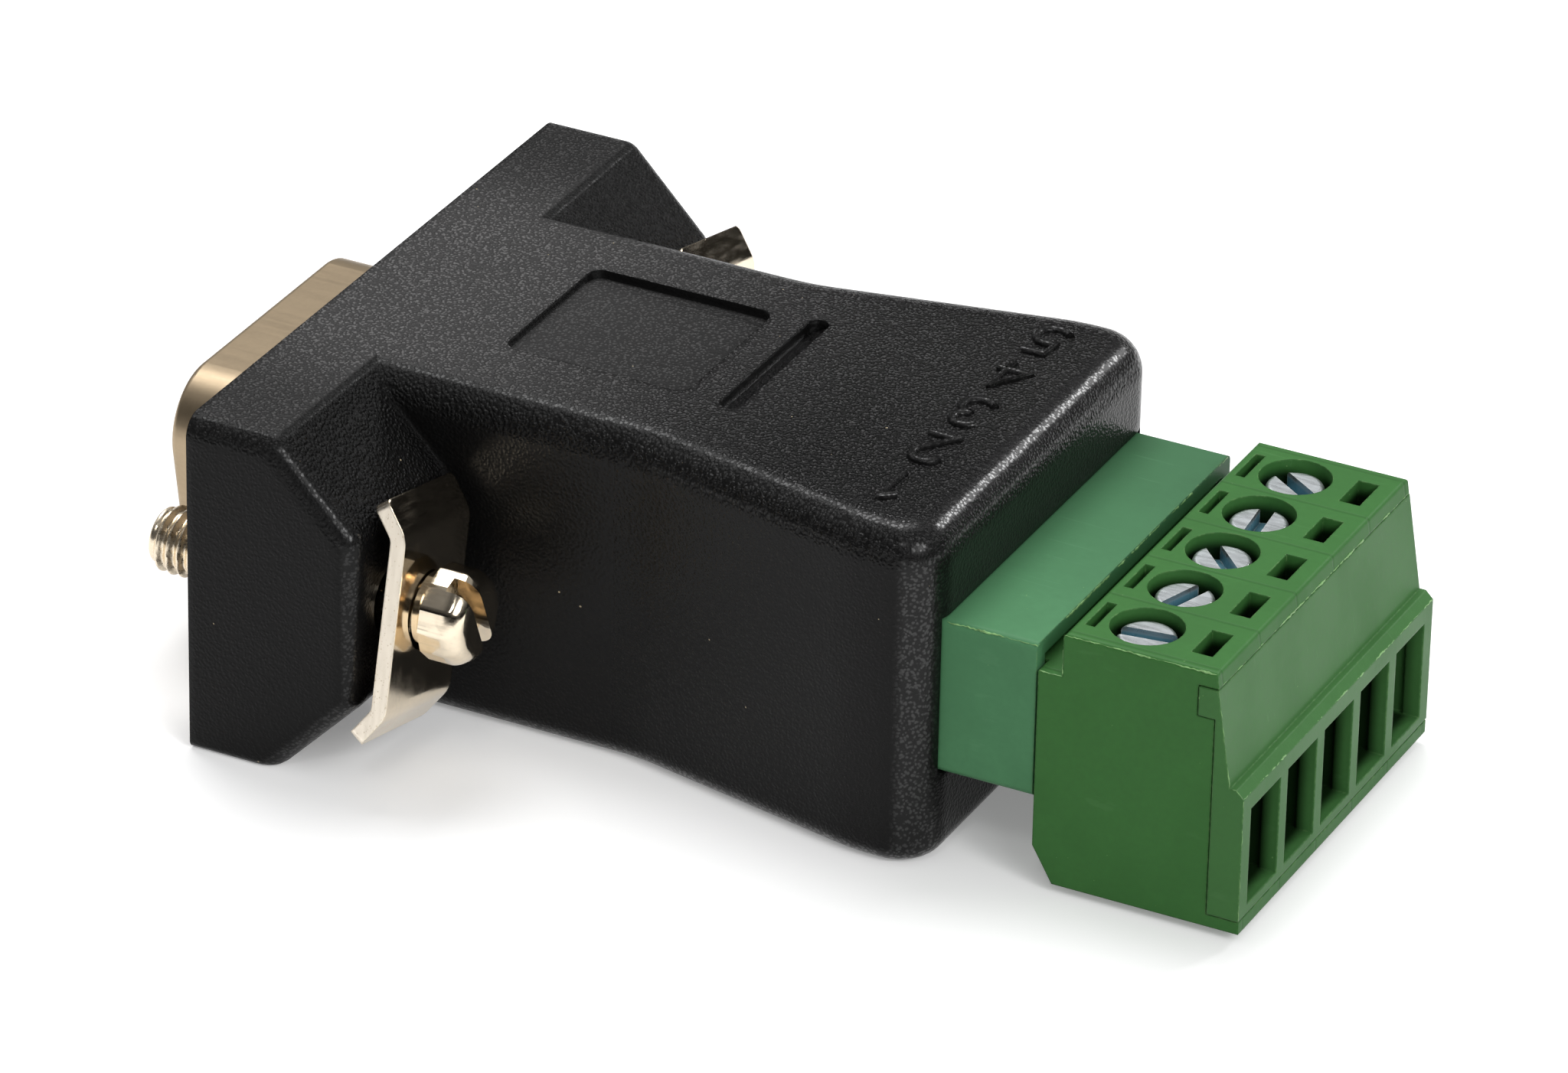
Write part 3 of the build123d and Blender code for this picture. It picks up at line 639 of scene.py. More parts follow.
def plate_nickel():
    """Mirror-bright nickel on the faces, with rough cream edges where the sheet was sheared, and painted
    highlights along the edges.
    """
    material, bench, shader = new_material("plate_nickel")
    cut = bench.ramp(bench.math("ABSOLUTE", bench.normal()[1]), 0.6, 0.85)
    drift = bench.group(tone_drift(), slow_scale=420.0, fine_scale=5200.0, amount=0.3)
    lines = bench.group(hairlines(), along_x=6500.0, along_y=700.0, along_z=700.0, cut=0.6)
    wear = bench.group(edge_wear(), width=0.14 * MM, reach=0.2, breakup=0.4, scale=5200.0)["Mask"]
    grit = bench.group(dust_specks(), spacing=0.1 * MM, share=0.5, size=0.35)["Mask"]
    tint = toned(bench, colours().nickel, drift["Tone"])
    sheared = bench.blend(bench.product(grit, 0.5), colours().cut_edge, PLATE_GRIT)
    tint = bench.blend(cut, tint, sheared)
    # Painted highlight: the faces' edges are painted near white; the sheared edges get a darker gold rim.
    rim = bench.blend(cut, PLATE_RIM_HIGHLIGHT, PLATE_CUT_RIM)
    tint = bench.blend(bench.product(wear, 0.6), tint, rim)
    bench.feed(shader["Base Color"], tint)
    shader["Metallic"].default_value = 1.0
    smooth = bench.ramp(lines["Height"], 0.35, 0.7, 0.08, 0.2)
    bench.feed(shader["Roughness"], bench.math("MULTIPLY_ADD", cut, 0.24, smooth))
    height = bench.product(bench.math("ADD", cut, wear), grit)
    bench.relief(shader, height, 0.5, 0.02 * MM, rounding=0.1 * MM)
    return material


def zinc_screw():
    """Bright zinc on the heads, blue-green deep in the slots, and worn edges painted near white as painted
    highlights.
    """
    material, bench, shader = new_material("zinc_screw")
    drift = bench.group(tone_drift(), slow_scale=900.0, fine_scale=6200.0, amount=0.2)
    lines = bench.group(hairlines(), along_x=900.0, along_y=5200.0, along_z=900.0, cut=0.64)
    wear = bench.group(edge_wear(), width=0.1 * MM, reach=0.3, breakup=0.45, scale=5200.0)
    height = bench.axes(bench.place())[2]
    deep = bench.ramp(height, SLOT_FLOOR, SLOT_RIM, 1.0, 0.0)
    tint = bench.blend(deep, toned(bench, colours().zinc, drift["Tone"]), colours().zinc_slot)
    tint = bench.blend(bench.product(lines["Mask"], 0.35), tint, ZINC_SCRATCH)
    # Painted highlight: the worn edges are painted near white.
    bench.feed(shader["Base Color"], bench.blend(wear["Mask"], tint, ZINC_EDGE_HIGHLIGHT))
    bench.feed(shader["Metallic"], bench.ramp(deep, 0.0, 1.0, 0.85, 0.35))
    bench.feed(shader["Roughness"], bench.ramp(lines["Height"], 0.3, 0.7, 0.24, 0.42))
    bench.relief(shader, lines["Height"], 0.5, 0.01 * MM)
    return material


def plain_finish(name, colour, rough, metallic=0.0):
    """A finish for what is mostly hidden: a colour that drifts, and a fine surface."""
    material, bench, shader = new_material(name)
    drift = bench.group(tone_drift(), slow_scale=300.0, fine_scale=3000.0, amount=0.4)
    bench.feed(shader["Base Color"], toned(bench, colour, drift["Tone"]))
    bench.feed(shader["Roughness"], bench.ramp(drift["Tone"], 0.85, 1.15, rough - 0.05, rough + 0.1))
    shader["Metallic"].default_value = metallic
    return material


def board_laminate():
    """Solder mask with paler bands where the copper tracks run."""
    material, bench, shader = new_material("board_laminate")
    tracks = bench.add("TexWave", {
        "Vector": bench.place(), "Scale": 90.0, "Distortion": 3.0, "Detail": 1.0})
    band = bench.ramp(tracks.outputs[1], 0.55, 0.62)
    drift = bench.group(tone_drift(), slow_scale=200.0, fine_scale=3000.0, amount=0.4)
    tint = bench.blend(bench.product(band, 0.7), BOARD_GREEN, TRACK_GREEN)
    bench.feed(shader["Base Color"], toned(bench, tint, drift["Tone"]))
    bench.feed(shader["Roughness"], bench.ramp(drift["Tone"], 0.85, 1.15, 0.25, 0.4))
    bench.relief(shader, band, 0.6, 0.03 * MM)
    return material


def give(material, *nodes):
    """Puts a material on CAD nodes, in their objects' own slots."""
    for name in nodes:
        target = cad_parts[name]
        if not target.material_slots:
            target.data.materials.append(material)
        for place in target.material_slots:
            place.material = material


def numbered(stem, count=POLE_COUNT):
    """The names of a row of like nodes."""
    return [f"{stem}_{number}" for number in range(1, count + 1)]


# Pieces

def mesh_piece(name, working, material, body, sharp=35.0):
    """Turns a bmesh into a finished piece that rides on one body."""
    bmesh.ops.recalc_face_normals(working, faces=working.faces)
    mesh = bpy.data.meshes.new(name)
    working.to_mesh(mesh)
    working.free()
    mesh.polygons.foreach_set("use_smooth", [True] * len(mesh.polygons))
    mesh.set_sharp_from_angle(angle=math.radians(sharp))
    piece = bpy.data.objects.new(name, mesh)
    bpy.context.scene.collection.objects.link(piece)
    mesh.materials.append(material)
    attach(piece, body)
    return piece


def evaluated_mesh(piece):
    """A new mesh of an object as its modifiers or its curve settings shape it."""
    bpy.context.view_layer.update()
    return bpy.data.meshes.new_from_object(piece.evaluated_get(bpy.context.evaluated_depsgraph_get()))


def fix_modifiers(piece):
    """Fixes a piece's modifiers into its mesh."""
    shaped = evaluated_mesh(piece)
    piece.modifiers.clear()
    old = piece.data
    piece.data = shaped
    bpy.data.meshes.remove(old)


def pole_y(index):
    """Where one pole lies along Y."""
    return (index - (POLE_COUNT - 1) / 2) * POLE_PITCH


def rounded_off(radius, rounding, into):
    """The radius of a rounded end, at a place that lies so far into its rounding."""
    return radius - rounding + math.sqrt(max(0.0, rounding ** 2 - into ** 2))


def jack_radius(x):
    """The jack screw's plain outline, in millimetres from the hood's front face."""
    if x < JACK_TIP + JACK_TIP_ROUNDING:
        return rounded_off(JACK_THREAD_RADIUS, JACK_TIP_ROUNDING, JACK_TIP + JACK_TIP_ROUNDING - x)
    if x <= 0:
        return JACK_THREAD_RADIUS
    if x < JACK_NECK_START:
        return max(JACK_SHANK_RADIUS, JACK_THREAD_RADIUS - x)
    if x < JACK_HEAD_START:
        return JACK_NECK_RADIUS
    if x < JACK_HEAD_START + JACK_HEAD_BEVEL:
        share = (x - JACK_HEAD_START) / JACK_HEAD_BEVEL
        return JACK_NECK_RADIUS + share * (JACK_HEAD_RADIUS - JACK_NECK_RADIUS)
    into = x - (JACK_END - JACK_HEAD_ROUNDING)
    if into <= 0:
        return JACK_HEAD_RADIUS
    return rounded_off(JACK_HEAD_RADIUS, JACK_HEAD_ROUNDING, into)


def thread_cut(x, turn):
    """How deep the thread is cut at one place, in millimetres."""
    pitch, deep = sizes().thread_pitch / MM, sizes().thread_depth / MM
    if x > 0 or x < JACK_TIP:
        return 0.0
    phase = (x / pitch + turn) % 1.0
    tooth = abs(phase - 0.5) * 2
    profile = min(1.0, max(0.0, (tooth - THREAD_CREST) / THREAD_FLANK))
    runout = min(1.0, -x / THREAD_RUNOUT) * min(1.0, (x - JACK_TIP) / THREAD_LEAD_IN)
    return deep * profile * runout


def head_flat(x, turn):
    """How near the axis the head's flats are, as a share of the radius at its corners."""
    if x < JACK_HEAD_START + JACK_HEAD_BEVEL:
        return 1.0
    half = math.pi / JACK_HEAD_SIDES
    aside = (turn * 2 * math.pi) % (2 * half) - half
    fade = max(0.0, min(1.0, (JACK_END - x) / JACK_HEAD_ROUNDING))
    return 1.0 - fade * (1.0 - math.cos(half) / math.cos(aside))


def jack_stations():
    """Places along the screw, closer together where the outline changes."""
    step = sizes().thread_pitch / MM / 10
    taper = JACK_THREAD_RADIUS - JACK_SHANK_RADIUS
    threaded = [JACK_TIP + step * index for index in range(int(-JACK_TIP / step) + 1)] + [0.0]
    tip = [JACK_TIP + JACK_TIP_ROUNDING * (1 - math.cos(math.radians(turn))) for turn in range(6, 88, 9)]
    shank = [0.1, 0.2, taper, 3.0, 6.0, JACK_NECK_START - SHARP_STEP, JACK_NECK_START]
    head = [JACK_HEAD_START - SHARP_STEP, JACK_HEAD_START, JACK_HEAD_START + JACK_HEAD_BEVEL]
    start = JACK_END - JACK_HEAD_ROUNDING
    dome = [start + JACK_HEAD_ROUNDING * math.sin(math.radians(turn)) for turn in range(0, 91, 6)]
    return sorted(set(round(x, 4) for x in threaded + tip + shank + head + dome))


def jack_screw(side_name, metal):
    """A slotted screw with a cut thread, which stands for the plain CAD screw."""
    face = HOOD_LOW[0] / MM
    y = JACK_SIDES[side_name] * JACK_SPACING / 2
    working = bmesh.new()
    rings = []
    for x in jack_stations():
        ring = []
        for index in range(JACK_ROUNDS):
            turn = index / JACK_ROUNDS
            angle = 2 * math.pi * index / JACK_ROUNDS
            radius = jack_radius(x) * head_flat(x, turn) - thread_cut(x, turn)
            point = (face + x, y + radius * math.cos(angle), JACK_AXIS_Z + radius * math.sin(angle))
            ring.append(working.verts.new(Vector(point) * MM))
        rings.append(ring)
    for first, second in zip(rings, rings[1:]):
        for index in range(JACK_ROUNDS):
            after = (index + 1) % JACK_ROUNDS
            working.faces.new((first[index], first[after], second[after], second[index]))
    working.faces.new(rings[0])
    working.faces.new(list(reversed(rings[-1])))
    piece = mesh_piece(f"jack_screw_{side_name}_threaded", working, metal,
                       f"jack_{side_name}", sharp=40.0)
    cut_slot(piece, (face + JACK_END, y, JACK_AXIS_Z))
    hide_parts(f"jack_screw_{side_name}")


def cut_slot(piece, head_end):
    """Cuts the screwdriver slot into a jack screw's head."""
    box = (2 * JACK_SLOT_DEPTH, JACK_SLOT_WIDTH, 3 * JACK_HEAD_RADIUS)
    turn = Matrix.Rotation(math.radians(JACK_SLOT_TURN), 3, "X")
    working = bmesh.new()
    bmesh.ops.create_cube(working, size=1.0)
    bmesh.ops.scale(working, vec=box, verts=working.verts)
    bmesh.ops.rotate(working, matrix=turn, verts=working.verts)
    bmesh.ops.translate(working, vec=head_end, verts=working.verts)
    bmesh.ops.scale(working, vec=(MM, MM, MM), verts=working.verts)
    mesh = bpy.data.meshes.new("slot_cutter")
    working.to_mesh(mesh)
    working.free()
    cutter = bpy.data.objects.new("slot_cutter", mesh)
    bpy.context.scene.collection.objects.link(cutter)
    cut = piece.modifiers.new("slot", "BOOLEAN")
    cut.operation, cut.solver, cut.object = "DIFFERENCE", "EXACT", cutter
    fix_modifiers(piece)
    bpy.data.objects.remove(cutter)
    bpy.data.meshes.remove(mesh)


def arc(centre, size, start, end, steps=10):
    """Points along part of an ellipse, from one angle to another in degrees."""
    turns = [math.radians(start + (end - start) * index / steps) for index in range(steps + 1)]
    return [(centre[0] + size[0] * math.cos(turn), centre[1] + size[1] * math.sin(turn)) for turn in turns]


def numeral_strokes():
    """The strokes of the numbers one to five, each number one high."""
    return (
        [[(0.12, 0.76), (0.34, 1.0), (0.34, 0.0)]],
        [arc((0.3, 0.73), (0.26, 0.27), 165, -35) + [(0.04, 0.0), (0.6, 0.0)]],
        [arc((0.28, 0.77), (0.24, 0.23), 150, -90), arc((0.28, 0.27), (0.29, 0.27), 90, -150)],
        [[(0.46, 0.0), (0.46, 1.0), (0.0, 0.3), (0.62, 0.3)]],
        [[(0.54, 1.0), (0.14, 1.0), (0.1, 0.56)] + arc((0.28, 0.31), (0.3, 0.31), 115, -145)],
    )


def numeral(index):
    """One raised pole number on the hood's top, read from the far side."""
    name = f"pole_number_{index + 1}"
    line = bpy.data.curves.new(name, "CURVE")
    line.dimensions = "3D"
    line.bevel_depth = sizes().numeral_stroke / 2
    line.bevel_resolution = 3
    line.use_fill_caps = True
    high = sizes().numeral_height
    for stroke in numeral_strokes()[index]:
        spline = line.splines.new("POLY")
        spline.points.add(len(stroke) - 1)
        for point, (across, up) in zip(spline.points, stroke):
            point.co = ((across - NUMERAL_MIDDLE[0]) * high, (up - NUMERAL_MIDDLE[1]) * high, 0, 1)
    shape = bpy.data.objects.new(name, line)
    bpy.context.scene.collection.objects.link(shape)
    mesh = evaluated_mesh(shape)
    bpy.data.objects.remove(shape)
    bpy.data.curves.remove(line)
    flat = sizes().numeral_relief / (sizes().numeral_stroke / 2)
    spot = Vector((HOOD_HIGH[0] - sizes().numeral_place, pole_y(index), HOOD_HIGH[2]))
    half_turn = Matrix.Rotation(math.pi, 4, "Z")
    flatten = Matrix.Scale(flat, 4, (0, 0, 1))
    mesh.transform(Matrix.Translation(spot) @ half_turn @ flatten)
    working = bmesh.new()
    working.from_mesh(mesh)
    bpy.data.meshes.remove(mesh)
    return mesh_piece(name, working, bpy.data.materials["hood_black"],
                      "adapter_body", sharp=50.0)


def burr(name, points, width, material, body, slot, seed):
    """A ragged thread of flash along an edge: short lengths of a tube whose size keeps changing.

    Now and then a gap may start or stop. In a gap and at its ends, the tube shrinks to its gap size.
    """
    luck = random.Random(seed)
    working = bmesh.new()
    for start, end in zip(points, points[1:]):
        first, last = Vector(start) * MM, Vector(end) * MM
        run = last - first
        steps = max(3, int(run.length / FLASH_STEP))
        along = run.normalized()
        aside = along.orthogonal().normalized()
        up = along.cross(aside)
        ring, drop = None, False
        size = FLASH_START_SIZE
        for index in range(steps + 1):
            if luck.random() < FLASH_CHANGE_CHANCE:
                drop = luck.random() < FLASH_GAP_CHANCE
            size = min(1.0, max(FLASH_LEAST_SIZE, size + luck.uniform(-FLASH_GROWTH, FLASH_GROWTH)))
            if drop or index in (0, steps):
                size = FLASH_GAP_SIZE
            shift = aside * luck.uniform(-FLASH_WANDER, FLASH_WANDER)
            shift += up * luck.uniform(-FLASH_WANDER, FLASH_WANDER)
            centre = first + run * (index / steps) + shift * width
            new = []
            for side in range(FLASH_SIDES):
                angle = 2 * math.pi * side / FLASH_SIDES
                out = aside * math.cos(angle) + up * math.sin(angle)
                new.append(working.verts.new(centre + out * width * size / 2))
            if ring:
                for side in range(FLASH_SIDES):
                    after = (side + 1) % FLASH_SIDES
                    working.faces.new((ring[side], ring[after], new[after], new[side]))
            else:
                working.faces.new(new)
            ring = new
        working.faces.new(list(reversed(ring)))
    return mesh_piece(name, working, material, body, sharp=60.0)


def run_burrs(stem, lines, width, material, body, slot, seed):
    """Runs a thread of flash along each named line."""
    for count, (name, points) in enumerate(lines.items()):
        burr(f"{stem}_{name}", points, width, material, body, slot, seed + count)


# Stage

def view_axes():
    """Right, up and back directions of the viewpoint."""
    azimuth, elevation, roll = (math.radians(angle) for angle in (VIEW_AZIMUTH, VIEW_ELEVATION, VIEW_ROLL))
    right = Vector((math.cos(azimuth), math.sin(azimuth), 0))
    level = math.cos(elevation)
    back = Vector((math.sin(azimuth) * level, -math.cos(azimuth) * level, math.sin(elevation)))
    up = back.cross(right)
    rolled_right = right * math.cos(roll) + up * math.sin(roll)
    rolled_up = up * math.cos(roll) - right * math.sin(roll)
    return rolled_right, rolled_up, back


def set_camera():
    """A camera at the viewpoint."""
    data = bpy.data.cameras.new("camera")
    data.sensor_width = SENSOR_WIDTH
    data.lens = VIEW_FOCAL_PIXELS * SENSOR_WIDTH / IMAGE_WIDTH
    data.clip_start, data.clip_end = 0.01, 10
    camera = bpy.data.objects.new("camera", data)
    bpy.context.scene.collection.objects.link(camera)
    right, up, back = view_axes()
    middle = Vector((HOOD_LOW[0], 0, JACK_AXIS_Z * MM))
    spot = middle + (right * VIEW_ASIDE[0] + up * VIEW_ASIDE[1] + back * VIEW_DISTANCE) * MM
    camera.matrix_world = Matrix.Translation(spot) @ Matrix((right, up, back)).transposed().to_4x4()
    bpy.context.scene.camera = camera


def lamp(name, spot, width, power):
    """A round soft lamp that faces the object."""
    data = bpy.data.lights.new(name, "AREA")
    data.shape, data.size, data.energy = "DISK", width, power
    light = bpy.data.objects.new(name, data)
    bpy.context.scene.collection.objects.link(light)
    turn = (-Vector(spot)).to_track_quat("-Z", "Y").to_matrix().to_4x4()
    light.matrix_world = Matrix.Translation(spot) @ turn


def seen_directly(bench):
    """One for what the camera, a reflection or glass sees, and nought for light on the object."""
    path = bench.add("LightPath").outputs
    seen = bench.math("MAXIMUM", path["Is Camera Ray"], path["Is Glossy Ray"])
    return bench.math("MAXIMUM", seen, path["Is Transmission Ray"])


def set_world():
    """Soft white light from all sides, and a plain white background."""
    world = bpy.data.worlds.new("studio")
    world.use_nodes = True
    world.node_tree.nodes.clear()
    bench = NodeBench(world.node_tree)
    soft = bench.add("Background", {"Color": (1.0, 1.0, 1.0), "Strength": SOFT_LIGHT})
    white = bench.add("Background", {"Color": (1.0, 1.0, 1.0), "Strength": 1.0})
    mix = bench.add("MixShader", {0: seen_directly(bench), 1: soft.outputs[0], 2: white.outputs[0]})
    bench.add("OutputWorld", {"Surface": mix.outputs[0]})
    bpy.context.scene.world = world


def stage_finish(name):
    """An empty material for the stage, and a bench for its nodes."""
    material = bpy.data.materials.new(name)
    material.use_nodes = True
    material.node_tree.nodes.clear()
    return material, NodeBench(material.node_tree)


def floor_finish():
    """White where it is seen, greyer where it lights the object from below."""
    material, bench = stage_finish("studio_floor")
    bright = bench.add("BsdfDiffuse", {"Color": tuple(colours().floor)})
    dim = bench.add("BsdfDiffuse", {"Color": FLOOR_FROM_BELOW})
    lift = bench.add("Emission", {"Strength": FLOOR_LIFT})
    bright = bench.add("AddShader", {0: bright.outputs[0], 1: lift.outputs[0]})
    mix = bench.add("MixShader", {0: seen_directly(bench), 1: dim.outputs[0], 2: bright.outputs[0]})
    bench.add("OutputMaterial", {"Surface": mix.outputs[0]})
    return material


def tent_finish():
    """Dark at the floor and behind the viewpoint, paler halfway up, and dimmer overhead and by the plug."""
    material, bench = stage_finish("studio_tent")
    x, y, z = bench.axes(bench.place())
    rise = bench.ramp(z, 0.09 * TENT_RADIUS, 0.72 * TENT_RADIUS, 0.03, 0.6)
    overhead = bench.ramp(z, 0.72 * TENT_RADIUS, 0.92 * TENT_RADIUS, 1.0, 0.5)
    aside = bench.ramp(x, -0.75 * TENT_RADIUS, 0.75 * TENT_RADIUS, 1.2, 0.45)
    front = bench.ramp(y, -0.7 * TENT_RADIUS, 0.0, 0.12, 1.0)
    glow = bench.add("Emission", {"Strength": bench.product(rise, aside, overhead, front)})
    bench.add("OutputMaterial", {"Surface": glow.outputs[0]})
    return material


def reflected_tent():
    """Half a ball that only shows in glossy surfaces, like the dim inside of a light tent."""
    working = bmesh.new()
    crown = working.verts.new((0, 0, TENT_RADIUS))
    turns = [2 * math.pi * index / TENT_ROUNDS for index in range(TENT_ROUNDS)]
    rings = []
    for row in range(TENT_ROWS):
        rise = math.pi / 2 * row / TENT_ROWS
        across, up = TENT_RADIUS * math.cos(rise), TENT_RADIUS * math.sin(rise)
        points = [(across * math.cos(turn), across * math.sin(turn), up) for turn in turns]
        rings.append([working.verts.new(point) for point in points])
    for index in range(TENT_ROUNDS):
        after = (index + 1) % TENT_ROUNDS
        for low, high in zip(rings, rings[1:]):
            working.faces.new((low[index], low[after], high[after], high[index]))
        working.faces.new((rings[-1][index], rings[-1][after], crown))
    tent = stage_panel("reflected_tent", working, tent_finish())
    tent.visible_camera = tent.visible_diffuse = tent.visible_shadow = False


def floor_sheet():
    """A flat square just under the object."""
    working = bmesh.new()
    bmesh.ops.create_grid(working, x_segments=1, y_segments=1, size=FLOOR_SIZE / 2)
    bmesh.ops.translate(working, vec=(0, 0, -FLOOR_DROP), verts=working.verts)
    stage_panel("floor", working, floor_finish())


def stage_panel(name, working, material):
    """Turns a bmesh into a part of the stage, which isn't part of the object."""
    mesh = bpy.data.meshes.new(name)
    working.to_mesh(mesh)
    working.free()
    mesh.materials.append(material)
    panel = bpy.data.objects.new(name, mesh)
    bpy.context.scene.collection.objects.link(panel)
    return panel


# Operators

class StageOperator(bpy.types.Operator):
    """Sets the floor, the soft light and the viewpoint"""
    bl_idname = "adapter.stage"
    bl_label = "Set the stage"

    def execute(self, context):
        context.scene.view_settings.view_transform = "Standard"
        set_world()
        floor_sheet()
        reflected_tent()
        for name, (spot, width, power) in LAMPS.items():
            lamp(name, spot, width, power)
        set_camera()
        return {"FINISHED"}


class HoodOperator(bpy.types.Operator):
    """Gives the hood its grained black finish"""
    bl_idname = "adapter.hood"
    bl_label = "Finish the hood"

    def execute(self, context):
        give(hood_black(), "hood")
        return {"FINISHED"}


class NumeralOperator(bpy.types.Operator):
    """Adds the raised pole numbers on the hood"""
    bl_idname = "adapter.numerals"
    bl_label = "Raise the pole numbers"

    def execute(self, context):
        for index in range(POLE_COUNT):
            numeral(index)
        return {"FINISHED"}


class DsubOperator(bpy.types.Operator):
    """Finishes the D-sub's shells, insulator and contacts"""
    bl_idname = "adapter.dsub"
    bl_label = "Finish the D-sub"

    def execute(self, context):
        give(plated_metal("tinned_shell", colours().shell, 0.42, marks=0.0, axis="x", brushed=0.06),
             "dsub_front_shell", "dsub_rear_shell")
        give(plain_finish("insulator_black", INSULATOR_BLACK, 0.4), "dsub_insulator")
        gold = plain_finish("gold_contact", CONTACT_GOLD, 0.25, metallic=1.0)
        give(gold, *numbered("socket_contact", CONTACT_COUNT))
        return {"FINISHED"}


class BoardOperator(bpy.types.Operator):
    """Finishes the circuit board and what it carries"""
    bl_idname = "adapter.board"
    bl_label = "Finish the board"

    def execute(self, context):
        give(board_laminate(), "circuit_board")
        give(plain_finish("chip_package", CHIP_BLACK, 0.5), "line_driver_chip", "transceiver_chip")
        give(plain_finish("ceramic_body", CERAMIC, 0.45), "chip_capacitors")
        return {"FINISHED"}


class HeaderOperator(bpy.types.Operator):
    """Finishes the fixed header, its pins, the springs on them and the flash along its edges"""
    bl_idname = "adapter.header"
    bl_label = "Finish the header"

    def execute(self, context):
        wall = Vector((0, HEADER_WALL, HEADER_WALL)) * MM
        rim = Vector((0, HEADER_RIM, HEADER_RIM)) * MM
        # The box inside the header is painted dark, as painted shade.
        header_shade_box = (HEADER_LOW + wall, HEADER_HIGH - rim)
        # The header's far end is painted darker by the fade, as painted shade.
        give(green_plastic("header_green", tuple(colours().header), 0.45, header_shade_box, fade=0.38), "header_shroud")
        give(plain_finish("tinned_contact", CONTACT_TIN, 0.3, metallic=1.0),
             *numbered("header_pin"), *numbered("contact_spring"))
        flash = burr_plastic("header_burr", tuple(colours().burr))
        low, high = (Vector(corner) / MM for corner in (HEADER_LOW, HEADER_HIGH))
        start = HOOD_HIGH[0] / MM + HEADER_FLASH_START
        near, top = low.y + HEADER_FLASH_SIDE, high.z - HEADER_FLASH_TOP
        end = high.x - FLASH_INSET
        edges = {
            "near": [(start, near, top), (high.x, near, top)],
            "front": [(end, near, top), (end, -near, top)],
        }
        width = sizes().burr_width * HEADER_FLASH_WIDTH
        run_burrs("header_burr", edges, width, flash, "adapter_body", "header_plastic", seed=11)
        return {"FINISHED"}


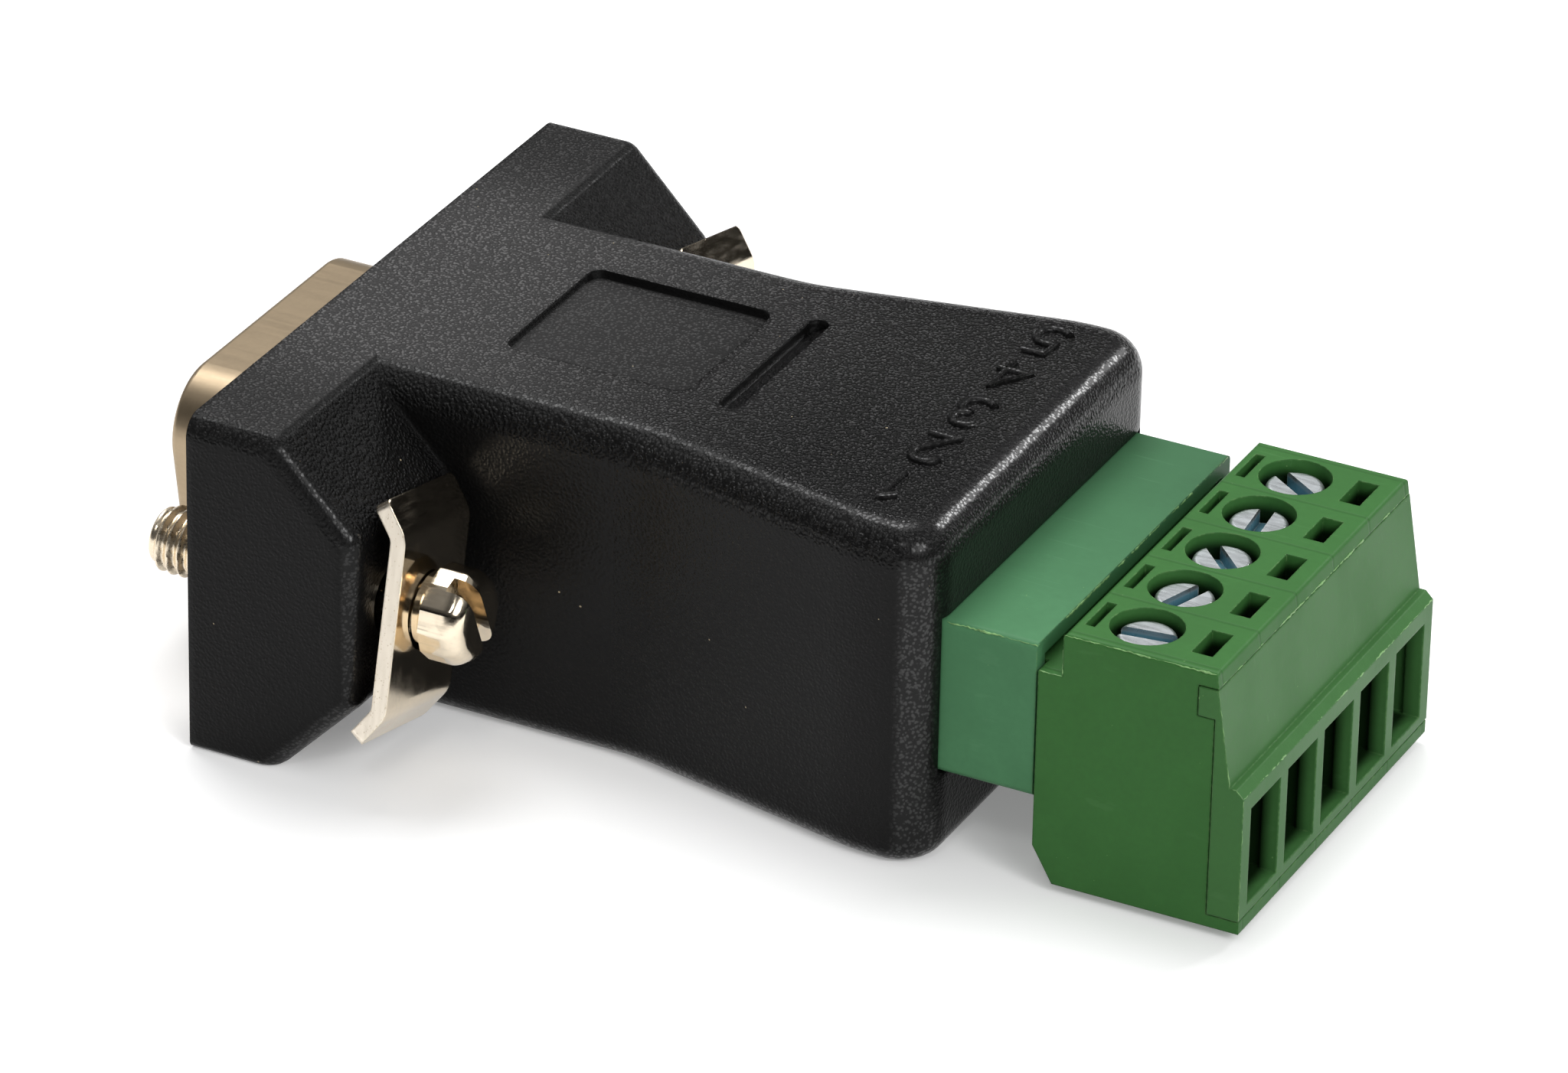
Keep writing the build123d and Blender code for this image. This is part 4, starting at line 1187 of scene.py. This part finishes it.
class PlugOperator(bpy.types.Operator):
    """Finishes the plug, its front cover and the flash along their edges"""
    bl_idname = "adapter.plug"
    bl_label = "Finish the plug"

    def execute(self, context):
        half = POLE_COUNT / 2 * POLE_PITCH
        # The boxes inside the housing and the cover are painted dark, as painted shade.
        well_shade_box = ((HOOD_HIGH[0] + WELLS_OUT * MM, -half, HOUSING_LOW[2] + WELLS_FLOOR * MM),
                 (HOUSING_HIGH[0] - WELLS_FRONT * MM, half, HOUSING_HIGH[2] - WELLS_TOP * MM))
        cells = ((COVER_LOW[0], -half, HOUSING_LOW[2]),
                 (COVER_HIGH[0] - CELLS_FRONT * MM, half, (LEDGE_Z - CELLS_TOP) * MM))
        give(green_plastic("plug_green", tuple(colours().plug), 0.42, well_shade_box, joints=True), "plug_housing")
        give(green_plastic("cover_green", tuple(colours().cover), 0.38, cells), "plug_front_cover")
        flash = burr_plastic("plug_burr", tuple(colours().burr))
        width = sizes().burr_width
        run_burrs("plug_burr", self.housing_edges(), width, flash, "plug", "plug_plastic", seed=21)
        width *= COVER_FLASH_WIDTH
        run_burrs("cover_burr", self.cover_edges(), width, flash, "plug", "plug_plastic", seed=31)
        return {"FINISHED"}

    def housing_edges(self):
        """The housing's edges that carry flash, in millimetres."""
        near, top = HOUSING_LOW[1] / MM + PLUG_FLASH_SIDE, HOUSING_HIGH[2] / MM
        step = HOOD_HIGH[0] / MM + STEP_OUT
        floor = JACK_AXIS_Z + STEP_FLOOR
        seam = HOUSING_HIGH[0] / MM - SEAM_BACK
        lip, lip_top = seam + LIP_OUT, top - LIP_DROP
        return {
            "top": [(step, near, top - PLUG_FLASH_TOP), (seam, near, top - PLUG_FLASH_TOP)],
            "step": [(step, near, top - STEP_FLASH_TOP), (step, near, floor),
                     (step - STEP_LENGTH, near, floor)],
            "lip": [(lip, near, lip_top), (lip, -near, lip_top)],
        }

    def cover_edges(self):
        """The front cover's edges that carry flash, in millimetres."""
        side = COVER_LOW[1] / MM + FLASH_INSET
        head, foot = COVER_HIGH[2] / MM, COVER_LOW[2] / MM
        front = HOUSING_HIGH[0] / MM
        seam = front - SEAM_BACK
        below = LEDGE_Z - LEDGE_BEVEL
        hook, hook_end, hook_foot = seam - HOOK_BACK, seam + HOOK_FRONT, head - HOOK_DROP
        return {
            "slant": [(seam + SLANT_TOP, side, head), (seam + SLANT_FOOT, side, LEDGE_Z),
                      (front - LEDGE_BEVEL, side, LEDGE_Z), (front, side, below), (front, side, foot)],
            "hook": [(hook, side, head), (hook, side, hook_foot), (hook_end, side, hook_foot)],
            "ledge": [(front - FLASH_INSET, side, below), (front - FLASH_INSET, -side, below)],
        }


class TerminalOperator(bpy.types.Operator):
    """Finishes the terminal screws and their clamp cages"""
    bl_idname = "adapter.terminals"
    bl_label = "Finish the terminals"

    def execute(self, context):
        give(zinc_screw(), *numbered("terminal_screw"))
        give(plated_metal("cage_metal", CAGE_STEEL, 0.35), *numbered("clamp_cage"))
        return {"FINISHED"}


class JackOperator(bpy.types.Operator):
    """Adds the threaded jack screws and finishes their plates"""
    bl_idname = "adapter.jacks"
    bl_label = "Add the jack screws"

    def execute(self, context):
        nickel = plated_metal("nickel", colours().nickel, 0.13, marks=0.12, axis="x", dents=14.0)
        give(plate_nickel(), "retainer_plate_near", "retainer_plate_far")
        for side_name in JACK_SIDES:
            jack_screw(side_name, nickel)
        return {"FINISHED"}


class AdapterPanel(bpy.types.Panel):
    """Lists the adapter's pieces and settings"""
    bl_idname = "VIEW3D_PT_adapter"
    bl_label = "Adapter"
    bl_space_type = "VIEW_3D"
    bl_region_type = "UI"
    bl_category = "Adapter"

    def draw(self, context):
        column = self.layout.column(align=True)
        for operator in OPERATORS:
            column.operator(operator.bl_idname)
        for group in (context.scene.adapter_colours, context.scene.adapter_sizes):
            box = self.layout.box()
            for key in group.__annotations__:
                box.prop(group, key)


OPERATORS = (StageOperator, HoodOperator, NumeralOperator, DsubOperator, BoardOperator, HeaderOperator,
             PlugOperator, TerminalOperator, JackOperator)
CLASSES = (AdapterColours, AdapterSizes, *OPERATORS, AdapterPanel)


def register():
    for each in CLASSES:
        bpy.utils.register_class(each)
    bpy.types.Scene.adapter_colours = bpy.props.PointerProperty(type=AdapterColours)
    bpy.types.Scene.adapter_sizes = bpy.props.PointerProperty(type=AdapterSizes)


def unregister():
    del bpy.types.Scene.adapter_sizes
    del bpy.types.Scene.adapter_colours
    for each in reversed(CLASSES):
        bpy.utils.unregister_class(each)


def main():
    register()
    for operator in OPERATORS:
        getattr(bpy.ops.adapter, operator.bl_idname.split(".")[1])()


if __name__ == "__main__":
    main()
